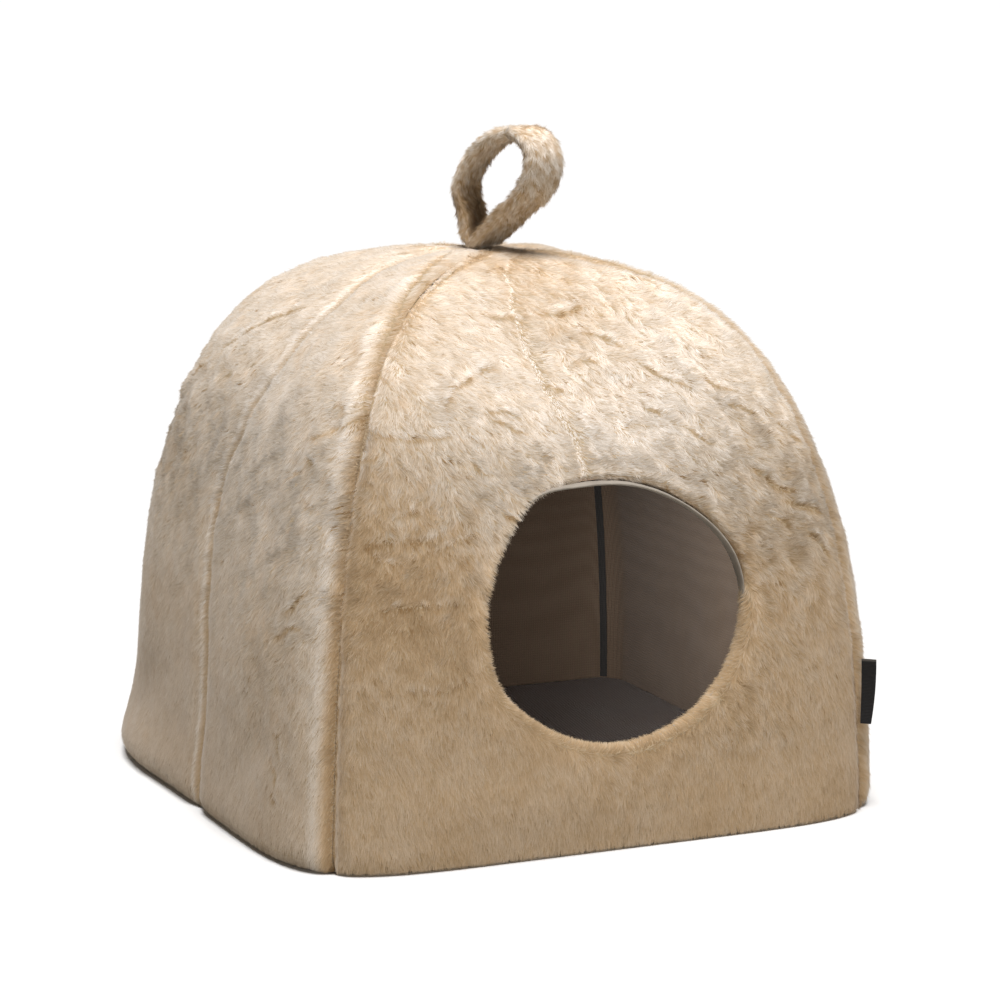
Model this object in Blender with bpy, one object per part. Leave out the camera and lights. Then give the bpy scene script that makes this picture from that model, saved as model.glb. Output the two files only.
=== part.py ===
"""A plush cat house: padded walls that stand on a square floor and curve up to one crown.

Every length is in millimetres and angles are in degrees; new_object() turns the finished points into metres.
The front faces -Y, +Z is up, and the origin is the middle of the floor, on the ground.
"""

import math

import bpy
import numpy as np

MM = 0.001

# The outer form, measured at the tips of the pile
BODY_HALF = 200.0  # half the width at the floor
BODY_HEIGHT = 336.0  # from the ground to the crown
WALL_UPRIGHT = 2.4  # power that keeps the walls upright low down
SHOULDER_ROUND = 2.68  # power that rounds the shoulder
CORNER_REACH = 0.885  # how far a corner reaches, as a share of the half-width
CORNER_REACH_CROWN = 0.08  # added to that share on the way up to the crown
CORNER_REACH_POWER = 6
HEM_ROUND = 4.0  # the walls turn in over this height at the ground
CROWN_RADIUS = 4.0  # the tips of the panels stop this far from the middle

# The layers of a wall, from the outside in
WALL_SIDE = 25.7  # plush and padding, at the ground
WALL_CROWN = 24.7  # the same at the crown
GAP = 0.3  # between two pieces that touch
LAYER_GAP = 0.75  # between the panels and the lining
SEAM_TRIM = 0.21  # each piece is drawn back this far from its seams
LINING = 2.0
INNER_CORNER = 20.0  # radius of the corners inside
FLOOR_THICK = 8.0
FLOOR_CORNER = 25.0  # the floor's corners are rounder than the walls', so that they clear the seams
FLOOR_CLEAR = 0.5

# The corner seams stand a little to the front and back of the true corners
CORNER_SEAM = 44.0
SIDES = {"front": 0, "right": 90, "rear": 180, "left": 270}

# Seams: the narrow groove that the stitches pull, and the wide hollow that they draw into the dome
GROOVE_DEPTH, GROOVE_SPREAD = 4.5, 9.0
HOLLOW_START = 0.35  # share of the way up where the wide hollow begins
HOLLOW_SPREAD = 55.0
HOLLOW_DEPTH = {"front": 15.0, "right": 8.0, "rear": 8.0, "left": 2.0}

# Where each middle seam wanders: rows of height and sideways shift, to the right as seen from outside
SEAM_WANDER = {
    "front": ((0, 0), (213, -9), (240, -9), (260, -14), (280, -19), (300, -21), (318, -20), (330, -13), (336, 0)),
    "left": ((0, 15), (90, 16), (130, 7), (180, -5), (207, -6), (240, 0), (280, 12), (305, 18), (336, 0)),
    "right": ((0, -6), (120, -4), (220, 5), (290, 9), (336, 0)),
    "rear": ((0, 4), (150, -5), (250, -8), (336, 0)),
}

# Soft swellings and dents of the padding: side, sideways, height, half-length, half-width, turn, rise
SWELLS = (
    ("front", -118, 262, 60, 34, 55, 4.0),
    ("front", 96, 258, 55, 38, -50, 4.0),
    ("front", -120, 150, 70, 30, 80, 2.5),
    ("front", 122, 178, 60, 26, 100, 3.0),
    ("front", -30, 34, 110, 20, 0, 2.5),
    ("front", 70, 40, 70, 18, 5, -2.0),
    ("left", 96, 205, 60, 24, 70, -4.0),
    ("left", 80, 120, 55, 26, 80, 3.0),
    ("left", 110, 66, 40, 20, 60, -3.5),
    ("left", -92, 150, 80, 30, 85, 3.5),
    ("left", -100, 52, 50, 24, 20, -3.0),
    ("left", -60, 262, 60, 30, 40, 3.0),
    ("left", 60, 282, 50, 26, -40, 3.0),
    ("left", -60, 275, 90, 45, 0, 3.0),
    ("left", 0, 10, 120, 30, 0, 4.0),
    ("left", -100, 2, 60, 28, 0, 8.0),
    ("right", -90, 160, 80, 34, 85, 3.0),
    ("right", 70, 90, 60, 30, 20, -3.0),
    ("right", 80, 235, 60, 30, -45, 3.5),
    ("rear", -90, 170, 80, 34, 90, 3.0),
    ("rear", 90, 110, 70, 30, 70, -3.0),
    ("rear", 70, 250, 60, 30, -45, 3.0),
)

# Swellings that run up a corner seam: corner, height, half-length upwards, half-width to each side, rise
CORNER_SWELLS = (
    ("rear_left", 0, 45, 80, 4.5),
    ("rear_left", 85, 70, 80, -7.8),
    ("rear_left", 292, 60, 90, 2.6),
    ("front_left", 0, 40, 90, 4.0),
    ("front_right", 0, 40, 90, 1.5),
)
CORNER_ENDS = {
    "front_left": {"left": 1, "front": -1},
    "front_right": {"front": 1, "right": -1},
    "rear_right": {"right": 1, "rear": -1},
    "rear_left": {"rear": 1, "left": -1},
}

# The round opening in the front, as a width and a height seen from the front
OPENING_MIDDLE = (1.5, 140.5)
OPENING_HALF = (79.0, 73.0)
OPENING_UNEVEN = ((120, 0.05, 16), (22, 0.045, 22), (208, 0.035, 16), (270, 0.01, 30))  # angle, swell, spread
RIM_THIN = 0.66  # share of the wall's thickness that is squeezed away at the rim
RIM_SPREAD = 30.0
EDGING_THICK = 2.2
EDGING_RECESS = 2.0  # the edging starts this far behind the tips of the pile

# The carrying loop: one strip of plush whose ends meet on the crown
LOOP_ACROSS = 30.7  # half the distance between the middles of the two arms
LOOP_WAIST = 0.8  # share of that distance near the crown
LOOP_TALL = 61.5  # from the middle of the strip below to the middle of the strip above
LOOP_WIDTH = 32.0
LOOP_THICK = 12.0
LOOP_BASE_WIDTH = 0.92  # share of the strip's width that is left where it is sewn on
LOOP_TURN = 25.0  # the strip's width runs this far off the X axis
LOOP_LEAN = -26.8  # the top leans this far towards the front arm
LOOP_SHIFT = -3.5  # and this far to the left, along the strip's width
LOOP_PLACE = (2.0, -1.3)  # where the middle of its foot stands on the crown
LOOP_SEAT = BODY_HEIGHT - 0.4 + GAP  # the crown has sunk a little under it

# The folded label in the front right corner seam
LABEL_LOW, LABEL_HIGH = 53.5, 93.5
LABEL_PROUD = 9.0
LABEL_THICK = 1.4
LABEL_SLANT = 2.5  # its lower outer corner stands this much further in

# The tape over the seam allowances in the inner corners
TAPE_WIDTH, TAPE_THICK = 6.0, 3.0
TAPE_CLEAR = 1.0

# How finely the solids are divided
ROW_SHARES = (0.0, 0.006, 0.018, 0.07, 0.13, 0.19, 0.25, 0.31, 0.37, 0.44, 0.52, 0.61, 0.71, 0.81, 0.9, 0.96, 1.0)
HALF_PANEL_STEPS = (0.0, 0.05, 0.13, 0.32, 0.54, 0.73, 0.87, 0.93, 0.965, 1.0)
LINING_STEPS = (-1.0, -0.965, -0.93, -0.87, 0.0, 0.87, 0.93, 0.965, 1.0)
FRONT_FOOT_STEPS = (-1.0, -0.93, -0.8, -0.6, -0.4, -0.2, 0.0, 0.2, 0.4, 0.6, 0.8, 0.93, 1.0)
FRONT_TOP_STEPS = (1.0, 0.5, 0.13, 0.0, -0.13, -0.5, -1.0)
LIFT_HEIGHT = 25.0  # the rows below this height make room for the floor
FRONT_RINGS = (0.0, 0.07, 0.18, 0.34, 0.52, 0.7, 0.84, 0.94, 1.0)
LOOP_STEPS = 36
LOOP_CORNER_STEPS = 3
CORNER_SHARE = 0.87  # from here to the corner seam, panels and lining are divided alike


class Shell:
    """One layer of the house: its half-width at the ground, its height, and how its corners are rounded."""

    def __init__(self, half, height, corner_radius=None, hem=0.0):
        self.half = half
        self.height = height
        self.corner_radius = corner_radius
        self.hem = hem

    def width(self, share):
        """Half-width at a share of the height: half x (1 - share^upright)^(1/round), turned in at the hem."""
        width = self.half * (1 - np.clip(share, 0, 1) ** WALL_UPRIGHT) ** (1 / SHOULDER_ROUND)
        if self.hem:
            left = np.clip(self.hem - share * self.height, 0, self.hem)
            width = width - (self.hem - np.sqrt(self.hem**2 - left**2))
        return width

    def depth(self, width, share, ratio):
        """Distance to the wall along its own facing, for a ratio of sideways to that distance.

        Without a corner radius the section is a superellipse; with one it is a square with round corners.
        """
        ratio = np.abs(ratio)
        if self.corner_radius is None:
            reach = CORNER_REACH + CORNER_REACH_CROWN * share**CORNER_REACH_POWER
            power = math.log(0.5) / np.log(reach)
            return width / (1 + ratio**power) ** (1 / power)
        radius = self.corner_radius * width / self.half
        straight = width - radius
        scale = 1 + ratio**2
        along = straight * (1 + ratio)
        arc = (along + np.sqrt(np.maximum(along**2 - scale * (2 * straight**2 - radius**2), 0))) / scale
        return np.where(ratio * width <= straight, width, arc)


PANEL_IN = BODY_HALF - WALL_SIDE
PANEL_IN_TOP = BODY_HEIGHT - WALL_CROWN
OUTSIDE = Shell(BODY_HALF, BODY_HEIGHT, hem=HEM_ROUND)
BACKING = Shell(PANEL_IN, PANEL_IN_TOP, INNER_CORNER)
LINING_OUT = Shell(PANEL_IN - LAYER_GAP, PANEL_IN_TOP - LAYER_GAP, INNER_CORNER)
LINING_IN = Shell(LINING_OUT.half - LINING, LINING_OUT.height - LINING, INNER_CORNER)
TAPE_OUT = Shell(LINING_IN.half - GAP, LINING_IN.height - GAP, INNER_CORNER)


def seam_ratio(side):
    """Sideways over outwards at the side's two corner seams."""
    angle = CORNER_SEAM if side in ("front", "rear") else 90 - CORNER_SEAM
    return math.tan(math.radians(angle))


def turned(side, sideways, outwards, height):
    """Points of one side, given sideways (right as seen from outside), outwards and up."""
    angle = math.radians(SIDES[side])
    x = sideways * math.cos(angle) + outwards * math.sin(angle)
    y = sideways * math.sin(angle) - outwards * math.cos(angle)
    return np.stack([x, y, height + 0 * x], axis=-1)


def rise(up):
    """Share of the height reached at `up`, which runs from 0 at the ground to 1 at the crown."""
    return np.sin(np.asarray(up) * math.pi / 2)


def smooth_table(rows, at):
    """Value of a table of (place, value) rows, eased between one row and the next."""
    places, values = np.array(rows, float).T
    at = np.clip(at, places[0], places[-1])
    row = np.clip(np.searchsorted(places, at, side="right") - 1, 0, len(places) - 2)
    part = (at - places[row]) / (places[row + 1] - places[row])
    eased = part * part * (3 - 2 * part)
    return values[row] + (values[row + 1] - values[row]) * eased


def middle_seam(side, up):
    """Where the middle seam runs, as a share of the way from the side's middle to its corner seam."""
    share = rise(up)
    reach = OUTSIDE.width(share) * seam_ratio(side)
    return smooth_table(SEAM_WANDER[side], share * BODY_HEIGHT) / np.maximum(reach, 30)


def relief(side, across, up, sideways, height):
    """How far the outer face stands out: seam grooves, the hollow along the middle seam, and the swellings."""
    share = rise(up)
    reach = OUTSIDE.width(share) * seam_ratio(side)
    from_corner = (1 - np.abs(across)) * reach
    from_middle = np.abs(across - middle_seam(side, up)) * reach
    out = -GROOVE_DEPTH * np.exp(-((from_corner / GROOVE_SPREAD) ** 2))
    if side == "front":
        groove = 0.35 * GROOVE_DEPTH * (height > OPENING_MIDDLE[1])
    else:
        groove = GROOVE_DEPTH
    out = out - groove * np.exp(-((from_middle / GROOVE_SPREAD) ** 2))
    along = np.clip((up - HOLLOW_START) / (1 - HOLLOW_START), 0, 1)
    hollow = HOLLOW_DEPTH[side] * np.sin(math.pi * along) ** 2
    out = out - hollow * np.exp(-((from_middle / HOLLOW_SPREAD) ** 2))
    for where, middle, high, length, broad, turn, swell in SWELLS:
        if where != side:
            continue
        angle = math.radians(turn)
        right, above = sideways - middle, height - high
        lengthways = (right * math.cos(angle) + above * math.sin(angle)) / length
        crossways = (above * math.cos(angle) - right * math.sin(angle)) / broad
        out = out + swell * np.exp(-(lengthways**2) - crossways**2)
    for corner, high, length, broad, swell in CORNER_SWELLS:
        end = CORNER_ENDS[corner].get(side)
        if end is not None:
            away = (1 - np.abs(across)) * reach / broad
            near = np.exp(-(((height - high) / length) ** 2) - away**2)
            out = out + swell * near * np.clip(1 + 4 * end * across, 0, 1)
    return out * np.clip(reach / 40, 0, 1)


def wall_point(shell, side, across, up):
    """A point of a layer: `across` runs from -1 to 1 between the corner seams, `up` from 0 to 1."""
    share = rise(up)
    width = shell.width(share)
    ratio = np.asarray(across) * seam_ratio(side)
    outwards = shell.depth(width, share, ratio)
    return turned(side, ratio * outwards, outwards, share * shell.height)


def beyond_opening(across, height):
    """Roughly how far a place on the front lies outside the opening, and 0 inside it."""
    right = (across - OPENING_MIDDLE[0]) / OPENING_HALF[0]
    above = (height - OPENING_MIDDLE[1]) / OPENING_HALF[1]
    return np.maximum(np.hypot(right, above) - 1.06, 0) * OPENING_HALF[1]


def outside_point(side, across, up):
    """A point of the outer face: the smooth form moved along its normal by the relief."""
    step = 1e-4
    spot = wall_point(OUTSIDE, side, across, up)
    to_side = wall_point(OUTSIDE, side, across + step, up) - spot
    to_top = wall_point(OUTSIDE, side, across, np.minimum(up + step, 1)) - spot
    normal = np.cross(to_side, to_top)
    level = np.clip(spot[..., 2] / 30, 0, 1)
    if side == "front":
        level = level * np.clip(beyond_opening(spot[..., 0], spot[..., 2]) / 25, 0, 1)
    normal[..., 2] *= level
    normal /= np.maximum(np.linalg.norm(normal, axis=-1, keepdims=True), 1e-12)
    angle = math.radians(SIDES[side])
    sideways = spot[..., 0] * math.cos(angle) + spot[..., 1] * math.sin(angle)
    moved = relief(side, across, up, sideways, spot[..., 2])
    low_fade = np.clip(spot[..., 2] / 12, 0, 1)
    return spot + normal * (moved * (0.4 + 0.6 * low_fade))[..., None]


def up_at(shell, height):
    """The `up` of a height on a layer."""
    return np.arcsin(np.clip(np.asarray(height, float) / shell.height, 0, 1)) * 2 / math.pi


def crown_up():
    """The `up` where the outer half-width has shrunk to the crown radius; every layer stops there."""
    share = (1 - (CROWN_RADIUS / BODY_HALF) ** SHOULDER_ROUND) ** (1 / WALL_UPRIGHT)
    return float(up_at(OUTSIDE, share * BODY_HEIGHT))


def rows_up(shell, low=0.0):
    """The `up` of each row of points, from a height near the ground to the crown, close together at the hem."""
    start = up_at(shell, low)
    return start + (crown_up() - start) * np.array(ROW_SHARES)


def trimmed(across, side, up, shell):
    """Draws both edges of a piece back from its seams, so that two neighbours stay a gap apart."""
    reach = np.maximum(shell.width(rise(up)) * seam_ratio(side), CROWN_RADIUS / 2)
    part = (across - across.min(axis=1, keepdims=True)) / np.ptp(across, axis=1)[:, None]
    return across + SEAM_TRIM * (1 - 2 * part) / reach


def closed_shell(outer, inner, ring=False):
    """Points and triangles of the solid between two grids, with its rims; `ring` joins the last column to the first."""
    rows, columns = outer.shape[:2]
    count = rows * columns
    index = np.arange(count).reshape(rows, columns)
    if ring:
        index = np.concatenate([index, index[:, :1]], axis=1)
    a, b = index[:-1, :-1].ravel(), index[:-1, 1:].ravel()
    d, c = index[1:, :-1].ravel(), index[1:, 1:].ravel()
    faces = [np.stack([a, b, c], 1), np.stack([a, c, d], 1)]
    faces += [np.stack([a, c, b], 1) + count, np.stack([a, d, c], 1) + count]

    def rim(start, end, crossed=False):
        if crossed:
            return [
                np.stack([end, start, end + count], 1),
                np.stack([start, start + count, end + count], 1),
            ]
        return [
            np.stack([end, start, start + count], 1),
            np.stack([end, start + count, end + count], 1),
        ]

    faces += rim(index[0, :-1], index[0, 1:]) + rim(index[-1, 1:], index[-1, :-1])
    if not ring:
        faces += rim(index[:-1, -1], index[1:, -1]) + rim(index[1:, 0], index[:-1, 0], crossed=True)
    points = np.concatenate([outer.reshape(-1, 3), inner.reshape(-1, 3)])
    return facing_out(points, np.concatenate(faces))


def facing_out(points, faces):
    """Turns every triangle round when the enclosed volume comes out negative."""
    first, second, third = (points[faces[:, k]] for k in range(3))
    if (first * np.cross(second, third)).sum() < 0:
        faces = faces[:, ::-1]
    return points, faces


def swept(sections):
    """Points and triangles of a closed tube through rows of points, capped at both ends with a fan."""
    rows, columns = sections.shape[:2]
    index = np.arange(rows * columns).reshape(rows, columns)
    following = np.roll(index, -1, axis=1)
    a, b = index[:-1].ravel(), following[:-1].ravel()
    d, c = index[1:].ravel(), following[1:].ravel()
    faces = [np.stack([a, b, c], 1), np.stack([a, c, d], 1)]
    fan = np.arange(1, columns - 1)
    faces.append(np.stack([0 * fan, fan + 1, fan], 1))
    faces.append(np.stack([0 * fan, fan, fan + 1], 1) + (rows - 1) * columns)
    return facing_out(sections.reshape(-1, 3), np.concatenate(faces))


def material(name, colour, roughness):
    """A plain Principled material from an sRGB hex colour."""
    made = bpy.data.materials.new(name)
    made.use_nodes = True
    channels = [int(colour[k : k + 2], 16) / 255 for k in (1, 3, 5)]
    linear = [c / 12.92 if c <= 0.04045 else ((c + 0.055) / 1.055) ** 2.4 for c in channels]
    shader = made.node_tree.nodes["Principled BSDF"]
    shader.inputs["Base Color"].default_value = (*linear, 1)
    shader.inputs["Roughness"].default_value = roughness
    shader.inputs["Metallic"].default_value = 0.0
    made.diffuse_color = (*linear, 1)
    return made


def new_object(name, points, faces, finish):
    """Puts points (in millimetres) and triangles into a named object with its own material."""
    mesh = bpy.data.meshes.new(name)
    mesh.from_pydata((np.asarray(points) * MM).tolist(), [], np.asarray(faces).tolist())
    mesh.shade_smooth()
    mesh.set_sharp_from_angle(angle=math.radians(40))
    made = bpy.data.objects.new(name, mesh)
    bpy.context.scene.collection.objects.link(made)
    made.data.materials.append(material(name + "_finish", *finish))
    return made


def half_panel(name, side, half, finish):
    """One padded half of a side, from its middle seam (half 0) to a corner seam (half -1 or 1)."""
    ups = rows_up(OUTSIDE)[:, None]
    seam = middle_seam(side, ups)
    steps = np.array(HALF_PANEL_STEPS)[None, :]
    from_seam = seam + (half * CORNER_SHARE - seam) * steps / CORNER_SHARE
    across = np.where(steps < CORNER_SHARE, from_seam, half * steps + 0 * seam)
    if half < 0:
        across = across[:, ::-1]
    ups = ups + 0 * across
    across = trimmed(across, side, ups[:, :1], OUTSIDE)
    outer = outside_point(side, across, ups)
    inner = wall_point(BACKING, side, across, ups)
    new_object(name, *closed_shell(outer, inner), finish)


def opening_curve(angle, grow=0.0):
    """Sideways and height of the opening's edge at an angle from the right-hand side, grown by `grow`."""
    swell = 1.0
    for middle, more, spread in OPENING_UNEVEN:
        away = (np.degrees(angle) - middle + 180) % 360 - 180
        swell = swell + more * np.exp(-((away / spread) ** 2))
    across = OPENING_MIDDLE[0] + (OPENING_HALF[0] * swell + grow) * np.cos(angle)
    high = OPENING_MIDDLE[1] + (OPENING_HALF[1] * swell + grow) * np.sin(angle)
    return across, high


def front_depth(shell, across, height):
    """Distance from the middle plane to a layer's front face, straight out from a sideways place and height."""
    share = height / shell.height
    width = shell.width(share)
    flat = np.abs(across) / width
    if shell.corner_radius is None:
        reach = CORNER_REACH + CORNER_REACH_CROWN * share**CORNER_REACH_POWER
        power = math.log(0.5) / np.log(reach)
        return width * (1 - np.clip(flat, 0, 1) ** power) ** (1 / power)
    return width + 0 * flat


def front_place(shell, across, height):
    """The (across, up) of a point of a layer's front face given sideways and height."""
    ratio = across / front_depth(shell, across, height)
    return ratio / seam_ratio("front"), up_at(shell, height)


def squeezed(points, grow):
    """Brings an inner layer of the front forward near the opening, where the wall is sewn thin."""
    across, height = points[..., 0], points[..., 2]
    near = RIM_THIN * np.exp(-((beyond_opening(across, height) / RIM_SPREAD) ** 2))
    safe = np.clip(height, 0, 0.9 * BACKING.height)
    front = -front_depth(OUTSIDE, np.clip(across, -150, 150), safe)
    moved = points.copy()
    room = np.minimum(front + grow - points[..., 1], 0)
    moved[..., 1] += room * near * (height < 0.9 * BACKING.height)
    return moved


def front_edges(shell):
    """The points (across, up) round the edges of the front: foot, right seam, crown and left seam."""
    sides = rows_up(shell)
    steps = len(sides) - 1
    foot, top = np.array(FRONT_FOOT_STEPS)[:-1], np.array(FRONT_TOP_STEPS)[:-1]
    across = np.concatenate([foot, np.ones(steps), top, -np.ones(steps)])
    return across, np.concatenate([0 * foot, sides[:-1], 0 * top + sides[-1], sides[:0:-1]])


def opening_angles():
    """The directions from the opening's middle to those points, the same for every layer."""
    across, ups = front_edges(OUTSIDE)
    middle = front_place(OUTSIDE, *OPENING_MIDDLE)
    wide = OPENING_HALF[0] / (BODY_HALF * seam_ratio("front"))
    tall = float(up_at(OUTSIDE, OPENING_HALF[1]))
    return np.arctan2((ups - middle[1]) / tall, (across - middle[0]) / wide)


def front_grid(shell, low, grow):
    """Places (across, up) on a layer's front: rings that open out from the round opening to the panel's four edges.

    A layer that starts above the ground has its lowest rows lifted, and the rest stays level with the other layers.
    """
    edge_across, edge_up = front_edges(shell)
    hole_across, hole_up = front_place(shell, *opening_curve(opening_angles(), grow))
    ring = np.array(FRONT_RINGS)[:, None]
    across = hole_across + (edge_across - hole_across) * ring
    ups = hole_up + (edge_up - hole_up) * ring
    middle_up = up_at(shell, OPENING_MIDDLE[1])
    above = np.clip((ups - middle_up) / (1 - middle_up), 0, 1)
    bow = middle_seam("front", ups) * (1 - np.abs(across)) * ring * np.minimum(above * 3, 1)
    lift = up_at(shell, low) * np.clip(1 - ups / up_at(shell, LIFT_HEIGHT), 0, 1)
    return across + bow, ups + lift


def front_layer(shell, low, grow):
    """The points of one layer of the front, drawn back from its two corner seams."""
    across, ups = front_grid(shell, low, grow)
    reach = np.maximum(shell.width(rise(ups)) * seam_ratio("front"), CROWN_RADIUS / 2)
    return across * (1 - SEAM_TRIM / reach), ups


def front_panel(finish):
    """The front: padded plush round the opening, squeezed thin at its rim."""
    grow = EDGING_THICK + GAP
    outer = outside_point("front", *front_layer(OUTSIDE, 0.0, grow))
    inner = squeezed(wall_point(BACKING, "front", *front_layer(BACKING, 0.0, grow)), 0.0)
    new_object("front_panel", *closed_shell(outer, inner, ring=True), finish)


def lining_front(finish):
    """The lining behind the front panel, with the same opening."""
    grow = EDGING_THICK + GAP
    low = FLOOR_THICK + GAP
    outer = squeezed(wall_point(LINING_OUT, "front", *front_layer(LINING_OUT, low, grow)), LAYER_GAP)
    inner = squeezed(wall_point(LINING_IN, "front", *front_layer(LINING_IN, low, grow)), LAYER_GAP + LINING)
    new_object("lining_front", *closed_shell(outer, inner, ring=True), finish)


def lining_wall(side, finish):
    """The lining of one of the other three sides, in one piece from the floor to the crown."""
    steps = np.array(LINING_STEPS)[None, :]
    layers = []
    for shell in (LINING_OUT, LINING_IN):
        ups = rows_up(shell, FLOOR_THICK + GAP)[:, None] + 0 * steps
        across = trimmed(steps + 0 * ups, side, ups[:, :1], shell)
        layers.append(wall_point(shell, side, across, ups))
    new_object("lining_" + side, *closed_shell(*layers), finish)


def opening_edging(finish):
    """A pale strip round the opening that covers the cut edges of the plush and of the lining."""
    angle = opening_angles()
    sections = []
    for grow in (EDGING_THICK, 0.0):
        across, height = opening_curve(angle, grow)
        front = -front_depth(OUTSIDE, across, height) + EDGING_RECESS
        flat = np.stack([across, 0 * across, height], axis=-1)
        flat[:, 1] = -front_depth(LINING_IN, across, height)
        rear = squeezed(flat, LAYER_GAP + LINING)[:, 1]
        sections.append(np.stack([across, front, height], axis=-1))
        sections.append(np.stack([across, rear, height], axis=-1))
    outer = np.stack([sections[0], sections[1]])
    inner = np.stack([sections[2], sections[3]])
    new_object("opening_edging", *closed_shell(outer, inner, ring=True), finish)


def floor_panel(finish):
    """The padded floor: a square with round corners that fills the walls' foot, flat above and below."""
    half = PANEL_IN - FLOOR_CLEAR
    radius = FLOOR_CORNER
    turn = np.radians(np.arange(0, 91, 15))
    outline = []
    for quarter in range(4):
        middle = (half - radius) * np.array([(1, 1), (-1, 1), (-1, -1), (1, -1)][quarter])
        arc = turn + quarter * math.pi / 2
        outline.append(middle + radius * np.stack([np.cos(arc), np.sin(arc)], axis=-1))
    outline = np.concatenate(outline)
    layers = [np.column_stack([outline, np.full(len(outline), z)]) for z in (0.0, FLOOR_THICK)]
    new_object("floor_panel", *swept(np.stack(layers)), finish)


def corner_tape(name, side, edge, finish):
    """The dark tape over the seam allowances of one inner corner, from the floor to just below the crown."""
    ups = rows_up(TAPE_OUT, FLOOR_THICK + 2 * GAP)[:-1]
    spot = wall_point(TAPE_OUT, side, edge + 0 * ups, ups)
    middle_out = spot[:, :2] / np.linalg.norm(spot[:, :2], axis=1, keepdims=True)
    sideways = np.column_stack([-middle_out[:, 1], middle_out[:, 0], 0 * ups])
    climb = np.gradient(spot, axis=0)
    climb /= np.linalg.norm(climb, axis=1, keepdims=True)
    inwards = np.cross(sideways, climb)
    inwards *= -np.sign((inwards[:, :2] * middle_out).sum(axis=1, keepdims=True))
    half = (TAPE_WIDTH / 2 * np.clip(np.hypot(spot[:, 0], spot[:, 1]) / 60, 0.3, 1))[:, None]
    bend = INNER_CORNER * TAPE_OUT.width(rise(ups))[:, None] / TAPE_OUT.half
    clear = TAPE_CLEAR + half**2 / (2 * bend)
    corners = (
        spot + sideways * half + inwards * clear,
        spot - sideways * half + inwards * clear,
        spot - sideways * half * 0.6 + inwards * TAPE_THICK,
        spot + sideways * half * 0.6 + inwards * TAPE_THICK,
    )
    new_object(name, *swept(np.stack(corners, axis=1)), finish)


def loop_section():
    """The strip's cross-section: its width and thickness with round edges, as fractions of half of each."""
    turn = np.radians(np.linspace(0, 90, LOOP_CORNER_STEPS + 1))
    roundness = LOOP_THICK / LOOP_WIDTH * 0.9
    outline = []
    for wide, thick, start in ((1, 1, 0), (-1, 1, 90), (-1, -1, 180), (1, -1, 270)):
        arc = turn + math.radians(start)
        outline.append(
            np.stack([wide * (1 - roundness) + roundness * np.cos(arc), 0.1 * thick + 0.9 * np.sin(arc)], axis=-1)
        )
    return np.concatenate(outline)


def carry_loop(finish):
    """The loop: a drop-shaped ring of padded strip, flattened where its ends are sewn to the crown."""
    turn = np.linspace(0, 2 * math.pi, LOOP_STEPS, endpoint=False)
    share = (1 - np.cos(turn)) / 2
    across = LOOP_ACROSS * np.sin(turn) * (LOOP_WAIST + (1 - LOOP_WAIST) * share) + LOOP_LEAN * share
    middle_z = LOOP_SEAT + LOOP_THICK / 2
    height = middle_z + LOOP_TALL * share
    path = np.stack([across, height], axis=-1)
    along = np.roll(path, -1, axis=0) - np.roll(path, 1, axis=0)
    along /= np.linalg.norm(along, axis=1, keepdims=True)
    outwards = np.stack([along[:, 1], -along[:, 0]], axis=-1)
    section = loop_section()
    wide = LOOP_WIDTH / 2 * (LOOP_BASE_WIDTH + (1 - LOOP_BASE_WIDTH) * np.clip(share * 2.5, 0, 1))
    place = path[:, None, :] + outwards[:, None, :] * section[None, :, 1:] * LOOP_THICK / 2
    sideways = wide[:, None] * section[None, :, 0] + LOOP_SHIFT * share[:, None]
    height = np.maximum(place[..., 1], LOOP_SEAT)
    angle = math.radians(LOOP_TURN)
    across = place[..., 0]
    x = LOOP_PLACE[0] + sideways * math.cos(angle) - across * math.sin(angle)
    y = LOOP_PLACE[1] + sideways * math.sin(angle) + across * math.cos(angle)
    points = np.stack([x, y, height], axis=-1)
    rows, columns = points.shape[:2]
    index = np.arange(rows * columns).reshape(rows, columns)
    right, above = np.roll(index, -1, axis=1), np.roll(index, -1, axis=0)
    both = np.roll(above, -1, axis=1)
    quads = np.stack([index, right, both, above], axis=-1).reshape(-1, 4)
    faces = np.concatenate([quads[:, [0, 1, 2]], quads[:, [0, 2, 3]]])
    new_object("carry_loop", *facing_out(points.reshape(-1, 3), faces), finish)


def side_label(finish):
    """The folded label that stands out of the front right corner seam."""
    heights = np.linspace(LABEL_LOW, LABEL_HIGH, 5)
    seam = outside_point("front", 1.0 + 0 * heights, up_at(OUTSIDE, heights))
    outwards = np.array([1, -1, 0]) / math.sqrt(2)
    sideways = np.array([1, 1, 0]) / math.sqrt(2)
    start = (seam @ outwards).max() + 2 * GAP
    bend = 1.2 * np.sin(np.linspace(0, math.pi, 5))[:, None]
    middle = outwards * start + np.array([0, 0, 1]) * heights[:, None]
    middle = middle + sideways * ((seam @ sideways).mean() + bend)
    slant = LABEL_SLANT * (1 - (heights - LABEL_LOW) / (LABEL_HIGH - LABEL_LOW))[:, None] ** 2
    proud = outwards * (LABEL_PROUD - slant)
    thick = sideways * LABEL_THICK / 2
    corners = (middle - thick, middle + proud - thick, middle + proud + thick, middle + thick)
    new_object("side_label", *swept(np.stack(corners, axis=1)), finish)


PLUSH = ("#CDB591", 0.95)
DARK_LINING = ("#4A3F38", 0.9)
PALE_EDGE = ("#CFC8BC", 0.8)
TAPE = ("#2C2B29", 0.85)
WOVEN_LABEL = ("#17171A", 0.7)


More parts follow.
